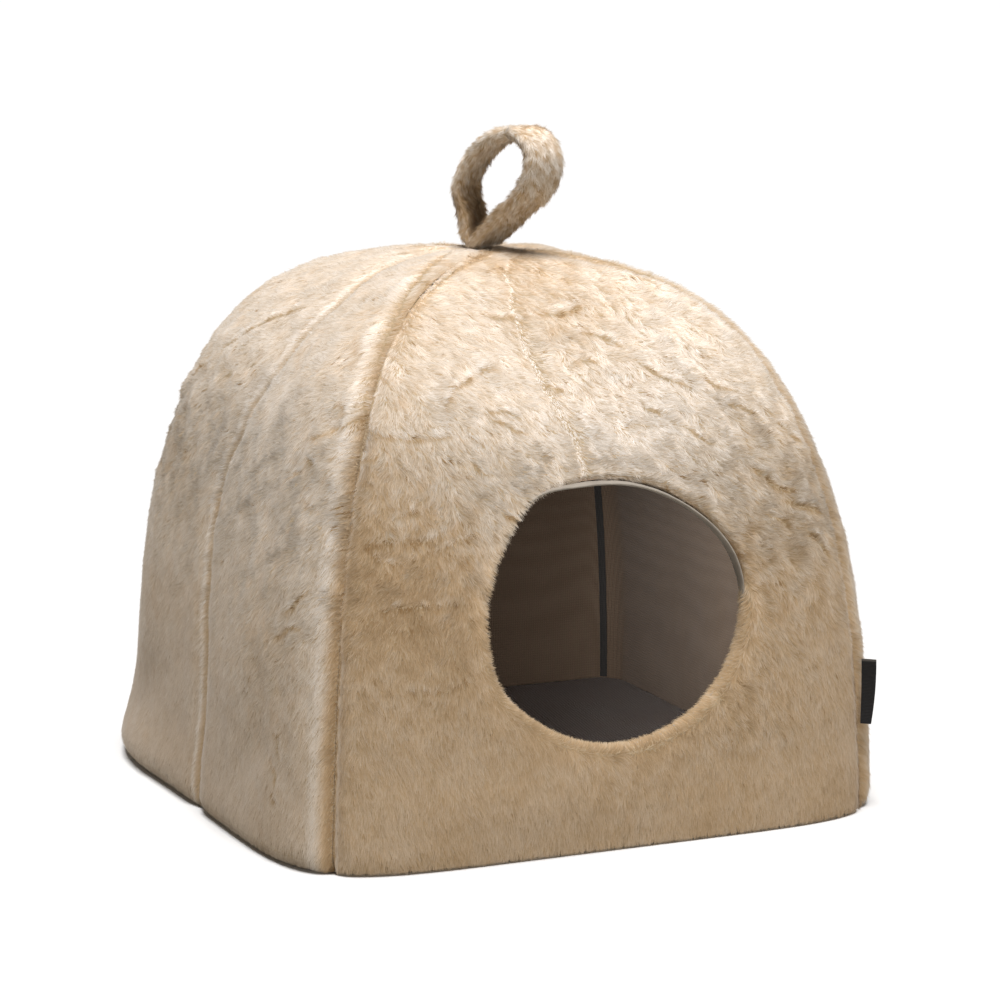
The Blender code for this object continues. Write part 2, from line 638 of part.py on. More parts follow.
def build():
    """Clears the scene and makes every piece."""
    for old in list(bpy.data.objects):
        bpy.data.objects.remove(old, do_unlink=True)
    front_panel(PLUSH)
    for side, left_name, right_name in (
        ("left", "left_rear_panel", "left_front_panel"),
        ("right", "right_front_panel", "right_rear_panel"),
        ("rear", "rear_right_panel", "rear_left_panel"),
    ):
        half_panel(left_name, side, -1, PLUSH)
        half_panel(right_name, side, 1, PLUSH)
        lining_wall(side, DARK_LINING)
    lining_front(DARK_LINING)
    floor_panel(DARK_LINING)
    opening_edging(PALE_EDGE)
    for name, side, edge in (
        ("tape_front_left", "front", -1),
        ("tape_front_right", "front", 1),
        ("tape_rear_left", "rear", 1),
        ("tape_rear_right", "rear", -1),
    ):
        corner_tape(name, side, edge, TAPE)
    carry_loop(PLUSH)
    side_label(WOVEN_LABEL)


build()
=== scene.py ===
# %% [markdown]
# # A plush house for a cat
#
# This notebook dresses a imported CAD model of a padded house: four plush walls that curve up to one
# crown, a round way in, a dark lining, and a carrying loop. The CAD model is a fixed frame, so
# every piece here is worked out from the same sizes, in the same place, and only its surface gets
# finer.
#
# The plush is the main lesson. A pile fabric is a thin ground cloth with thousands of soft strands
# on it, so it is built as two pieces: the cloth, a grid that follows the wall, and the pile, one
# mesh of many small strands.

# %% Load the frame
import math

import bpy
import numpy as np
from mathutils import Matrix


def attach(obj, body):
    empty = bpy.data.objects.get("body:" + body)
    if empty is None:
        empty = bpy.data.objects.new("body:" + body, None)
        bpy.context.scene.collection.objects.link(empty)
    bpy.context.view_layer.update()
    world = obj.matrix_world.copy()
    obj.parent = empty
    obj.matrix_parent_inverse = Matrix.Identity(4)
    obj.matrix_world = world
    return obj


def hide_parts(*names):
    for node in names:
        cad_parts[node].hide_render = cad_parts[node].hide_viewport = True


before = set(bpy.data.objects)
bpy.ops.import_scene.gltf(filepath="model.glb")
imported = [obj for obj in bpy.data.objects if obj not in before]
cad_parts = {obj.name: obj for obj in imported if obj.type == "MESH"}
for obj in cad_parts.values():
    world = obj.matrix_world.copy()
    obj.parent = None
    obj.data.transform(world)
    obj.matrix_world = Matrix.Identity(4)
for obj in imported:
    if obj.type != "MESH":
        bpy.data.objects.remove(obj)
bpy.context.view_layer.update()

# %% [markdown]
# ## The form of the house
#
# Each wall is a patch with two parameters: `across`, from -1 to 1 between its two corner seams, and
# `up`, from 0 at the ground to 1 at the crown. The half-width shrinks with height by a power curve,
# and each level is a superellipse, which is a square whose corners are drawn in. Lengths are in
# millimetres until a mesh is made.

# %% Sizes of the form
MM = 0.001
BODY_HALF, BODY_HEIGHT = 200.0, 336.0
WALL_UPRIGHT, SHOULDER_ROUND = 2.4, 2.68
CORNER_REACH, CORNER_REACH_CROWN, CORNER_REACH_POWER = 0.885, 0.08, 6
CORNER_SEAM = 44.0
CROWN_RADIUS = 4.0
SIDES = {"front": 0, "right": 90, "rear": 180, "left": 270}
GROOVE_DEPTH, GROOVE_SPREAD = 4.5, 9.0
HOLLOW_START, HOLLOW_SPREAD = 0.35, 55.0
HOLLOW_DEPTH = {"front": 15.0, "right": 8.0, "rear": 8.0, "left": 2.0}

# Where each middle seam wanders: rows of height and sideways shift, to the right as seen from outside
SEAM_WANDER = {
    "front": ((0, 0), (213, -9), (240, -9), (260, -14), (280, -19), (300, -21), (318, -20), (330, -13),
              (336, 0)),
    "left": ((0, 15), (90, 16), (130, 7), (180, -5), (207, -6), (240, 0), (280, 12), (305, 18), (336, 0)),
    "right": ((0, -6), (120, -4), (220, 5), (290, 9), (336, 0)),
    "rear": ((0, 4), (150, -5), (250, -8), (336, 0)),
}

# Soft swellings and dents of the padding: side, sideways, height, half-length, half-width, turn, rise
SWELLS = (
    ("front", -118, 262, 60, 34, 55, 4.0),
    ("front", 96, 258, 55, 38, -50, 4.0),
    ("front", -120, 150, 70, 30, 80, 2.5),
    ("front", 122, 178, 60, 26, 100, 3.0),
    ("front", -30, 34, 110, 20, 0, 2.5),
    ("front", 70, 40, 70, 18, 5, -2.0),
    ("left", 96, 205, 60, 24, 70, -4.0),
    ("left", 80, 120, 55, 26, 80, 3.0),
    ("left", 110, 66, 40, 20, 60, -3.5),
    ("left", -92, 150, 80, 30, 85, 3.5),
    ("left", -100, 52, 50, 24, 20, -3.0),
    ("left", -60, 262, 60, 30, 40, 3.0),
    ("left", 60, 282, 50, 26, -40, 3.0),
    ("left", -60, 275, 90, 45, 0, 3.0),
    ("left", 0, 10, 120, 30, 0, 4.0),
    ("left", -100, 2, 60, 28, 0, 8.0),
    ("right", -90, 160, 80, 34, 85, 3.0),
    ("right", 70, 90, 60, 30, 20, -3.0),
    ("right", 80, 235, 60, 30, -45, 3.5),
    ("rear", -90, 170, 80, 34, 90, 3.0),
    ("rear", 90, 110, 70, 30, 70, -3.0),
    ("rear", 70, 250, 60, 30, -45, 3.0),
)

# Swellings that run up a corner seam: corner, height, half-length upwards, half-width to each side, rise
CORNER_SWELLS = (
    ("rear_left", 0, 45, 80, 4.5),
    ("rear_left", 85, 70, 80, -7.8),
    ("rear_left", 292, 60, 90, 2.6),
    ("front_left", 0, 40, 90, 4.0),
    ("front_right", 0, 40, 90, 1.5),
)
CORNER_ENDS = {
    "front_left": {"left": 1, "front": -1},
    "front_right": {"front": 1, "right": -1},
    "rear_right": {"right": 1, "rear": -1},
    "rear_left": {"rear": 1, "left": -1},
}

OPENING_MIDDLE, OPENING_HALF = (2.2, 137.0), (79.0, 73.0)
# Where the opening isn't quite an ellipse: angle, swell and spread
OPENING_UNEVEN = ((120, 0.05, 16), (22, 0.045, 22), (208, 0.035, 16), (270, 0.01, 30))


# %% Curves of the wall
def half_width(share, half=BODY_HALF, hem=4.0):
    """Half-width at a share of the height: half x (1 - share^upright)^(1/round), turned in over the hem."""
    width = half * (1 - np.clip(share, 0, 1) ** WALL_UPRIGHT) ** (1 / SHOULDER_ROUND)
    if hem:
        left = np.clip(hem - share * BODY_HEIGHT, 0, hem)
        width = width - (hem - np.sqrt(hem**2 - left**2))
    return width


def corner_power(share):
    """The superellipse's power that makes its corner reach the wanted share of the half-width."""
    reach = CORNER_REACH + CORNER_REACH_CROWN * share**CORNER_REACH_POWER
    return math.log(0.5) / np.log(reach)


def seam_ratio(side):
    """Sideways over outwards at the side's two corner seams."""
    return math.tan(math.radians(CORNER_SEAM if side in ("front", "rear") else 90 - CORNER_SEAM))


def turned(side, sideways, outwards, height):
    """Points of one side, given sideways (right as seen from outside), outwards and up."""
    angle = math.radians(SIDES[side])
    x = sideways * math.cos(angle) + outwards * math.sin(angle)
    y = sideways * math.sin(angle) - outwards * math.cos(angle)
    return np.stack([x, y, height + 0 * x], axis=-1)


def sideways_of(side, points):
    """How far to the right of the side's middle a point is, as seen from outside."""
    angle = math.radians(SIDES[side])
    return points[..., 0] * math.cos(angle) + points[..., 1] * math.sin(angle)


def smooth_table(rows, at):
    """Value of a table of (place, value) rows, eased between one row and the next."""
    places, values = np.array(rows, float).T
    at = np.clip(at, places[0], places[-1])
    row = np.clip(np.searchsorted(places, at, side="right") - 1, 0, len(places) - 2)
    part = (at - places[row]) / (places[row + 1] - places[row])
    return values[row] + (values[row + 1] - values[row]) * part * part * (3 - 2 * part)


def up_at(height, total=BODY_HEIGHT):
    """The `up` of a height: the share of the height is the sine of a quarter turn times `up`."""
    return np.arcsin(np.clip(np.asarray(height, float) / total, 0, 1)) * 2 / math.pi


crown_share = (1 - (CROWN_RADIUS / BODY_HALF) ** SHOULDER_ROUND) ** (1 / WALL_UPRIGHT)
UP_CROWN = float(up_at(crown_share * BODY_HEIGHT))
print("up at the crown:", round(UP_CROWN, 4))


# %% [markdown]
# ## Soft relief
#
# Padding is never smooth: seams pull a groove, the middle seam draws a wide hollow into the dome,
# and the filling swells and dents between them. Each of these is one bump formula, a Gaussian hill,
# summed over a short table. A plain sum of hills keeps the surface smooth and lets each one be
# named and moved by hand.

# %% Relief of the walls
def seam_reach(side, up):
    """Distance along the wall from the side's middle to its corner, and the middle seam's place on it."""
    share = np.sin(np.asarray(up) * math.pi / 2)
    reach = half_width(share) * seam_ratio(side)
    return reach, smooth_table(SEAM_WANDER[side], share * BODY_HEIGHT) / np.maximum(reach, 30)


def hill(right, above, length, broad, turn):
    """A Gaussian hill turned by `turn` degrees: e^-(lengthways^2 + crossways^2)."""
    angle = math.radians(turn)
    lengthways = (right * math.cos(angle) + above * math.sin(angle)) / length
    crossways = (above * math.cos(angle) - right * math.sin(angle)) / broad
    return np.exp(-(lengthways**2) - crossways**2)


def relief(side, across, up, sideways, height):
    """How far the face stands out: seam grooves, the hollow along the middle seam, and the swellings."""
    reach, seam = seam_reach(side, up)
    from_corner = (1 - np.abs(across)) * reach
    from_middle = np.abs(across - seam) * reach
    out = -GROOVE_DEPTH * np.exp(-((from_corner / GROOVE_SPREAD) ** 2))
    groove = GROOVE_DEPTH if side != "front" else 0.35 * GROOVE_DEPTH * (height > OPENING_MIDDLE[1])
    out = out - groove * np.exp(-((from_middle / GROOVE_SPREAD) ** 2))
    along = np.clip((up - HOLLOW_START) / (1 - HOLLOW_START), 0, 1)
    hollow = HOLLOW_DEPTH[side] * np.sin(math.pi * along) ** 2
    out = out - hollow * np.exp(-((from_middle / HOLLOW_SPREAD) ** 2))
    for where, middle, high, length, broad, turn, swell in SWELLS:
        if where == side:
            out = out + swell * hill(sideways - middle, height - high, length, broad, turn)
    for corner, high, length, broad, swell in CORNER_SWELLS:
        end = CORNER_ENDS[corner].get(side)
        if end is not None:
            near = np.exp(-(((height - high) / length) ** 2) - (from_corner / broad) ** 2)
            out = out + swell * near * np.clip(1 + 4 * end * across, 0, 1)
    return out * np.clip(reach / 40, 0, 1)


def form_point(side, across, up):
    """A point of the smooth form, before any relief."""
    share = np.sin(np.asarray(up) * math.pi / 2)
    width = half_width(share)
    ratio = np.abs(across) * seam_ratio(side)
    power = corner_power(share)
    outwards = width / (1 + ratio**power) ** (1 / power)
    return turned(side, np.sign(across) * ratio * outwards, outwards, share * BODY_HEIGHT)


def outside_opening(across, height):
    """Roughly how far a place on the front lies outside the opening, and 0 inside it."""
    right = (across - OPENING_MIDDLE[0]) / OPENING_HALF[0]
    above = (height - OPENING_MIDDLE[1]) / OPENING_HALF[1]
    return np.maximum(np.hypot(right, above) - 1.06, 0) * OPENING_HALF[1]


def wall_point(side, across, up, sink=0.0):
    """A point of the wall's face, `sink` mm in along the smooth form's normal. The CAD face has sink 0."""
    step = 1e-4
    spot = form_point(side, across, up)
    to_side = form_point(side, across + step, up) - spot
    to_top = form_point(side, across, up + step) - spot
    normal = np.cross(to_side, to_top)
    level = np.clip(spot[..., 2] / 30, 0, 1)
    if side == "front":
        level = level * np.clip(outside_opening(spot[..., 0], spot[..., 2]) / 25, 0, 1)
    normal[..., 2] *= level
    normal /= np.maximum(np.linalg.norm(normal, axis=-1, keepdims=True), 1e-12)
    moved = relief(side, across, up, sideways_of(side, spot), spot[..., 2])
    low_fade = np.clip(spot[..., 2] / 12, 0, 1)
    return spot + normal * (moved * (0.4 + 0.6 * low_fade) - sink)[..., None]


# %% [markdown]
# ## Meshes and nodes in a few helpers
#
# A surface here is always an array of points, rows by columns. `grid_faces` joins neighbours into
# quads, and `shell_faces` closes two such grids into one thin body, because cloth has two faces and
# an edge. The mesh takes its points from the array in one call, with no loop over points.

# %% Mesh helpers
def grid_faces(rows, columns, ring=False):
    """Quads between neighbours of a grid; `ring` joins the last column to the first."""
    index = np.arange(rows * columns).reshape(rows, columns)
    if ring:
        index = np.concatenate([index, index[:, :1]], axis=1)
    corners = [index[:-1, :-1], index[:-1, 1:], index[1:, 1:], index[1:, :-1]]
    return np.stack(corners, axis=-1).reshape(-1, 4)


def shell_faces(rows, columns, ring=False):
    """Quads of the closed body between an outer grid and an inner grid whose points follow it."""
    count = rows * columns
    index = np.arange(count).reshape(rows, columns)
    faces = grid_faces(rows, columns, ring)
    if ring:
        index = np.concatenate([index, index[:, :1]], axis=1)
    parts = [faces, faces[:, ::-1] + count]
    edges = [(index[0, 1:], index[0, :-1]), (index[-1, :-1], index[-1, 1:])]
    if not ring:
        edges += [(index[:-1, 0], index[1:, 0]), (index[1:, -1], index[:-1, -1])]
    parts += [np.stack([start, end, end + count, start + count], axis=1) for start, end in edges]
    return np.concatenate(parts)


def volume(points, faces):
    """Volume inside a closed mesh, negative when its faces point inwards."""
    a, b, c = (points[faces[:, k]] for k in range(3))
    total = (a * np.cross(b, c)).sum()
    if faces.shape[1] == 4:
        total += (a * np.cross(c, points[faces[:, 3]])).sum()
    return total / 6


def new_piece(name, points, faces, smooth_angle=50):
    """An object with these points (in mm) and faces (all triangles or all quads), riding on the body."""
    mesh = bpy.data.meshes.new(name)
    sides = faces.shape[1]
    mesh.vertices.add(len(points))
    mesh.vertices.foreach_set("co", (points * MM).astype(np.float32).ravel())
    mesh.loops.add(faces.size)
    mesh.loops.foreach_set("vertex_index", faces.astype(np.int32).ravel())
    mesh.polygons.add(len(faces))
    mesh.polygons.foreach_set("loop_start", np.arange(0, faces.size, sides, dtype=np.int32))
    mesh.update(calc_edges=True)
    mesh.shade_smooth()
    if smooth_angle:
        mesh.set_sharp_from_angle(angle=math.radians(smooth_angle))
    piece = bpy.data.objects.new(name, mesh)
    bpy.context.scene.collection.objects.link(piece)
    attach(piece, "root")
    return piece


def closed_piece(name, points, faces, smooth_angle=50):
    """The same for a closed body, turned to face out."""
    if volume(points, faces) < 0:
        faces = faces[:, ::-1]
    return new_piece(name, points, faces, smooth_angle)


def unit(vectors):
    """Vectors scaled to length 1."""
    return vectors / np.maximum(np.linalg.norm(vectors, axis=-1, keepdims=True), 1e-9)


def grid_normals(points, ring=False):
    """Normals of a grid, from the differences between neighbours, pointing away from the middle."""
    if ring:
        along = np.roll(points, -1, axis=1) - np.roll(points, 1, axis=1)
    else:
        along = np.gradient(points, axis=1)
    normal = unit(np.cross(along, np.gradient(points, axis=0)))
    middle = np.array([0, 0, 120.0])
    flip = np.sign(((points - middle) * normal).sum(axis=-1).mean())
    return normal * flip


# %% Material helpers
def linear(colour):
    """An sRGB hex colour as linear RGBA."""
    channels = [int(colour[k : k + 2], 16) / 255 for k in (1, 3, 5)]
    return (*[c / 12.92 if c <= 0.04045 else ((c + 0.055) / 1.055) ** 2.4 for c in channels], 1.0)


def node(tree, kind, inputs=None, output=0, **settings):
    """Adds a node and returns one output: `settings` are properties, `inputs` socket values or links."""
    made = tree.nodes.new("ShaderNode" + kind)
    for key, value in settings.items():
        setattr(made, key, value)
    for key, value in (inputs or {}).items():
        if isinstance(value, bpy.types.NodeSocket):
            tree.links.new(value, made.inputs[key])
        else:
            made.inputs[key].default_value = value
    return made.outputs[output]


def new_material(name, roughness, sheen=0.0, specular=0.3):
    """A Principled material with no pattern yet: returns it, its tree and its shader."""
    made = bpy.data.materials.new(name)
    made.use_nodes = True
    shader = made.node_tree.nodes["Principled BSDF"]
    shader.inputs["Roughness"].default_value = roughness
    shader.inputs["IOR"].default_value = 1.5
    shader.inputs["Specular IOR Level"].default_value = specular
    shader.inputs["Sheen Weight"].default_value = sheen
    shader.inputs["Sheen Roughness"].default_value = 0.5
    return made, made.node_tree, shader


# %% [markdown]
# ## Camera, floor and light
#
# The camera comes first, because every later choice is judged through it. Its place was solved from
# the outline of the house: 23.5 degrees to the left of straight on, 10 degrees above, and far away,
# so that the perspective is gentle. The light is what a product studio has: a broad light overhead
# that makes the crown bright, drawn as a sun 24 degrees wide, a weaker fill in front, and a pale
# room. The paper on the floor looks white to the camera, but throws back less light than white
# paper would, because a real studio's floor is shaded by its own boxes.

# %% Camera
CAMERA_TURN, CAMERA_RISE = math.radians(-23.537), math.radians(10.319)
# In metres: how far the camera is from the point that it aims at, and where that point is
CAMERA_AWAY, CAMERA_ASIDE, CAMERA_HEIGHT = 2.06, 0.0085, 0.1737
SENSOR, FOCAL_PIXELS, PICTURE = 36, 3289.87, 1000
CAMERA_FOCAL = FOCAL_PIXELS / PICTURE * SENSOR


def placed(across, upwards, away, place):
    """The matrix of an object with these three axes at this place."""
    matrix = np.eye(4)
    matrix[:3] = np.column_stack([across, upwards, away, place])
    return Matrix(matrix.tolist())


right_way = np.array([math.cos(CAMERA_TURN), math.sin(CAMERA_TURN), 0])
back_way = np.array([math.sin(CAMERA_TURN) * math.cos(CAMERA_RISE),
                     -math.cos(CAMERA_TURN) * math.cos(CAMERA_RISE), math.sin(CAMERA_RISE)])
up_way = np.cross(back_way, right_way)
camera = bpy.data.objects.new("camera", bpy.data.cameras.new("camera"))
camera.data.sensor_width, camera.data.lens = SENSOR, CAMERA_FOCAL
camera.data.clip_start, camera.data.clip_end = 0.05, 50
aim = right_way * CAMERA_ASIDE + np.array([0, 0, CAMERA_HEIGHT])
camera.matrix_world = placed(right_way, up_way, back_way, aim + back_way * CAMERA_AWAY)
bpy.context.scene.collection.objects.link(camera)
bpy.context.scene.camera = camera
print("lens, mm:", round(CAMERA_FOCAL, 1))


# %% Floor, room and lights
def softbox(name, place, aim, size, power):
    """A square area light at `place` that faces `aim`, in metres and watts."""
    light = bpy.data.lights.new(name, "AREA")
    light.shape, light.size, light.energy = "SQUARE", size, power
    made = bpy.data.objects.new(name, light)
    away = unit(np.array(place, float) - np.array(aim, float))
    across = unit(np.cross((0.001, 0, 1), away))
    upwards = np.cross(away, across)
    made.matrix_world = placed(across, upwards, away, place)
    bpy.context.scene.collection.objects.link(made)
    return made


floor_mesh = bpy.data.meshes.new("floor")
FLOOR_FAR, FLOOR_LOW = 60, -0.0005
floor_corners = [(x * FLOOR_FAR, y * FLOOR_FAR, FLOOR_LOW) for x, y in ((-1, -1), (1, -1), (1, 1), (-1, 1))]
floor_mesh.from_pydata(floor_corners, [], [(0, 1, 2, 3)])
floor = bpy.data.objects.new("floor", floor_mesh)
bpy.context.scene.collection.objects.link(floor)
paper, paper_tree, paper_shader = new_material("white_paper", 0.9, specular=0.1)
seen = node(paper_tree, "LightPath", output="Is Camera Ray")
paper_tone = node(paper_tree, "Mix", {0: seen, 6: linear("#BAB6AE"), 7: linear("#FCFCFC")}, 2,
                  data_type="RGBA")
paper_tree.links.new(paper_tone, paper_shader.inputs["Base Color"])
floor_mesh.materials.append(paper)

world = bpy.data.worlds.new("room")
bpy.context.scene.world = world
world.use_nodes = True
room_light = world.node_tree.nodes["Background"].inputs
room_light["Color"].default_value, room_light["Strength"].default_value = linear("#FFF8F0"), 0.12
bpy.context.scene.view_settings.view_transform = "Standard"

sky = bpy.data.lights.new("ceiling", "SUN")
sky.energy, sky.angle, sky.color = 3.12, math.radians(24), (1.0, 0.998, 1.0)
ceiling = bpy.data.objects.new("ceiling", sky)
from_above = unit(np.array([-0.04, -0.13, 1.0]))
ceiling_right = unit(np.cross((0, 1, 0), from_above))
ceiling.matrix_world = placed(ceiling_right, np.cross(from_above, ceiling_right), from_above, (0, 0, 2))
bpy.context.scene.collection.objects.link(ceiling)
softbox("front_fill", (0.5, -2.8, 0.6), (0, 0, 0.15), 0.9, 6.8)

# %% [markdown]
# ## The plush ground cloth
#
# The cloth that carries the pile lies a few millimetres under the tips. It follows the padded wall,
# turns in under the hem, and rolls over the rim of the opening. Each wall is a thin closed shell:
# an outer grid and an inner grid 1.4 mm behind it. Small crumples that the padding doesn't have are
# added here, from soft random waves.

# %% Random waves
PILE_DEPTH = 3.6  # from the tips of the pile down to its ground cloth
CLOTH_THICK = 1.4


def waves(points, size, seed, count=12):
    """Soft random hills about `size` mm long, mostly from -1 to 1: sine waves in random directions."""
    chance = np.random.default_rng(seed)
    ways = unit(chance.normal(size=(count, 3)))
    ways *= (2 * math.pi / (size * chance.uniform(0.7, 1.4, count)))[:, None]
    phases = chance.uniform(0, 2 * math.pi, count)
    return np.sin(points @ ways.T + phases).mean(axis=-1) * math.sqrt(count / 2)


CRUMPLED_ALL_OVER = 0.35
# Crumpled places of the cloth: side, sideways, height, half-length, half-width, turn, rise
CRUMPLES = (
    ("front", 40, 275, 110, 50, 0, 1.1),
    ("front", 130, 215, 50, 60, 0, 1.2),
    ("front", -110, 165, 70, 30, 0, 1.0),
    ("left", -60, 240, 70, 60, 30, 1.4),
    ("left", 120, 225, 40, 60, 0, 1.6),
    ("left", -115, 215, 28, 60, 20, 1.0),
    ("left", 130, 110, 30, 80, 0, 1.0),
    ("right", 60, 230, 90, 60, 0, 1.2),
    ("right", -110, 150, 50, 70, 0, 1.0),
    ("rear", -60, 230, 90, 70, 0, 1.2),
    ("rear", 100, 120, 60, 80, 0, 1.1),
)


def crumples(side, points):
    """The cloth's own small hills: waves of two sizes, stronger in the crumpled places."""
    sideways, height = sideways_of(side, points), points[..., 2]
    more = 0
    for where, middle, high, length, broad, turn, rise in CRUMPLES:
        if where == side:
            more = more + rise * hill(sideways - middle, height - high, length, broad, turn)
    fade = np.clip((BODY_HEIGHT - height) / 12, 0, 1) * np.clip(height / 20, 0, 1)
    return (CRUMPLED_ALL_OVER + more) * fade * (0.9 * waves(points, 26, 11) + 0.6 * waves(points, 11, 12))


# %% Cloth of the side walls
HEM_ROWS, HEM_WIDE = 5, 17.0
FLOOR_GAP, PIECE_GAP = 0.6, 0.3  # clear of the floor, and from each piece to its neighbour's seam


def wall_rows(count):
    """The `up` of each row: close together near the ground, even further up."""
    part = np.linspace(0, 1, count)
    return UP_CROWN * (0.15 * part**3 + 0.85 * part)


def sunk_wall(side, across, up, depth):
    """The ground cloth's face: the wall moved in by `depth`, with the cloth's own crumples."""
    points = wall_point(side, across, up, depth)
    lift = crumples(side, points)
    return wall_point(side, across, up, depth - lift)


def with_hem(points, inwards, height):
    """Adds rows before the first one that run in under the wall, `inwards` mm towards the floor panel."""
    foot = points[:1]
    middle_way = unit(foot * np.array([1, 1, 0]))
    share = np.linspace(1, 0, HEM_ROWS + 1)[:-1, None, None]
    under = foot - middle_way * inwards * share
    under[..., 2] = height
    return np.concatenate([under, points])


def cloth_shell(name, outer, inner, ring=False):
    """A closed thin cloth between two grids."""
    rows, columns = outer.shape[:2]
    points = np.concatenate([outer.reshape(-1, 3), inner.reshape(-1, 3)])
    return closed_piece(name, points, shell_faces(rows, columns, ring), 70)


def half_wall_grid(side, half, steps=36, rows=66):
    """Grid of one half of a side, middle seam to corner seam, left to right as seen from outside."""
    ups = wall_rows(rows)[:, None]
    reach, seam = seam_reach(side, ups)
    part = np.linspace(0, 1, steps)[None, :]
    trim = PIECE_GAP / np.maximum(reach, CROWN_RADIUS)
    across = seam + half * trim + (half * (1 - trim) - seam - half * trim) * part
    if half < 0:
        across = across[:, ::-1]
    return across, ups + 0 * across


def half_wall_cloth(name, side, half):
    """The plush ground cloth of a half wall, a thin shell with its hem turned in."""
    across, ups = half_wall_grid(side, half)
    outer = with_hem(sunk_wall(side, across, ups, PILE_DEPTH), HEM_WIDE, FLOOR_GAP)
    inner = sunk_wall(side, across, ups, PILE_DEPTH + CLOTH_THICK)
    inner = with_hem(inner, HEM_WIDE - 1, FLOOR_GAP + CLOTH_THICK)
    return cloth_shell(name, outer, inner), (side, across, ups)


HALF_WALLS = {
    "left_rear_panel": ("left", -1),
    "left_front_panel": ("left", 1),
    "right_front_panel": ("right", -1),
    "right_rear_panel": ("right", 1),
    "rear_right_panel": ("rear", -1),
    "rear_left_panel": ("rear", 1),
}
cloths, grids = {}, {}
for cad_node, (side, half) in HALF_WALLS.items():
    cloth_name = cad_node.replace("panel", "cloth")
    cloths[cad_node], grids[cad_node] = half_wall_cloth(cloth_name, side, half)
    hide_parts(cad_node)
print("half walls:", len(cloths))


# %% Cloth of the front
def opening_curve(angle, grow=0.0):
    """Sideways and height of the opening's edge at an angle from the right-hand side, grown by `grow`."""
    swell = 1.0
    for middle, more, spread in OPENING_UNEVEN:
        away = (np.degrees(angle) - middle + 180) % 360 - 180
        swell = swell + more * np.exp(-((away / spread) ** 2))
    across = OPENING_MIDDLE[0] + (OPENING_HALF[0] * swell + grow) * np.cos(angle)
    return across, OPENING_MIDDLE[1] + (OPENING_HALF[1] * swell + grow) * np.sin(angle)


def front_depth(across, height):
    """Distance from the middle plane to the front's smooth form at a sideways place and a height."""
    share = height / BODY_HEIGHT
    width = half_width(share)
    power = corner_power(share)
    return width * (1 - np.clip(np.abs(across) / width, 0, 1) ** power) ** (1 / power)


def front_place(across, height):
    """The (across, up) of a point of the front given sideways and height."""
    return across / front_depth(across, height) / seam_ratio("front"), up_at(height)


def front_outline(foot=56, side=66, top=6):
    """The places (across, up) round the front: foot, right seam, crown and left seam."""
    feet, crown = np.linspace(-1, 1, foot + 1)[:-1], np.linspace(1, -1, top + 1)[:-1]
    ups = UP_CROWN * np.linspace(0, 1, side + 1)
    trim = 1 - PIECE_GAP / np.maximum(half_width(np.sin(ups * math.pi / 2)), CROWN_RADIUS)
    across = np.concatenate([feet * trim[0], trim[:-1], crown * trim[-1], -trim[:0:-1]])
    return across, np.concatenate([0 * feet, ups[:-1], 0 * crown + ups[-1], ups[:0:-1]])


def front_grid(rings=60, grow=2.5):
    """Rings of places (across, up) that open out from the round opening to the front's four edges."""
    edge_across, edge_up = front_outline()
    middle = front_place(*OPENING_MIDDLE)
    wide, tall = OPENING_HALF[0] / (BODY_HALF * seam_ratio("front")), float(up_at(OPENING_HALF[1]))
    angle = np.arctan2((edge_up - middle[1]) / tall, (edge_across - middle[0]) / wide)
    hole_across, hole_up = front_place(*opening_curve(angle, grow))
    ring = (np.linspace(0, 1, rings) ** 1.15)[:, None]
    return hole_across + (edge_across - hole_across) * ring, hole_up + (edge_up - hole_up) * ring


RIM_ROUND = 5.0  # radius of the roll round the opening


def rolled(points, away):
    """Bends the front inwards near the opening: y moves in by r - sqrt(r^2 - (r - away)^2)."""
    left = np.clip(RIM_ROUND - away, 0, RIM_ROUND)
    moved = points.copy()
    moved[..., 1] += RIM_ROUND - np.sqrt(np.maximum(RIM_ROUND**2 - left**2, 0))
    return moved


def front_cloth_grid(depth):
    """The front's cloth: rings round the opening, rolled inwards at its rim."""
    across, ups = front_grid()
    points = sunk_wall("front", across, ups, depth)
    away = np.hypot(points[..., 0] - points[:1, :, 0], points[..., 2] - points[:1, :, 2])
    points = rolled(points, away)
    behind = points[:1] + np.array([0, 2.0, 0])
    return np.concatenate([behind, points]), across, ups


front_outer, front_across, front_ups = front_cloth_grid(PILE_DEPTH)
front_inner = front_cloth_grid(PILE_DEPTH + CLOTH_THICK)[0]
cloths["front_panel"] = cloth_shell("front_cloth", front_outer, front_inner, ring=True)
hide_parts("front_panel")
print("front cloth points:", front_outer.shape[:2])
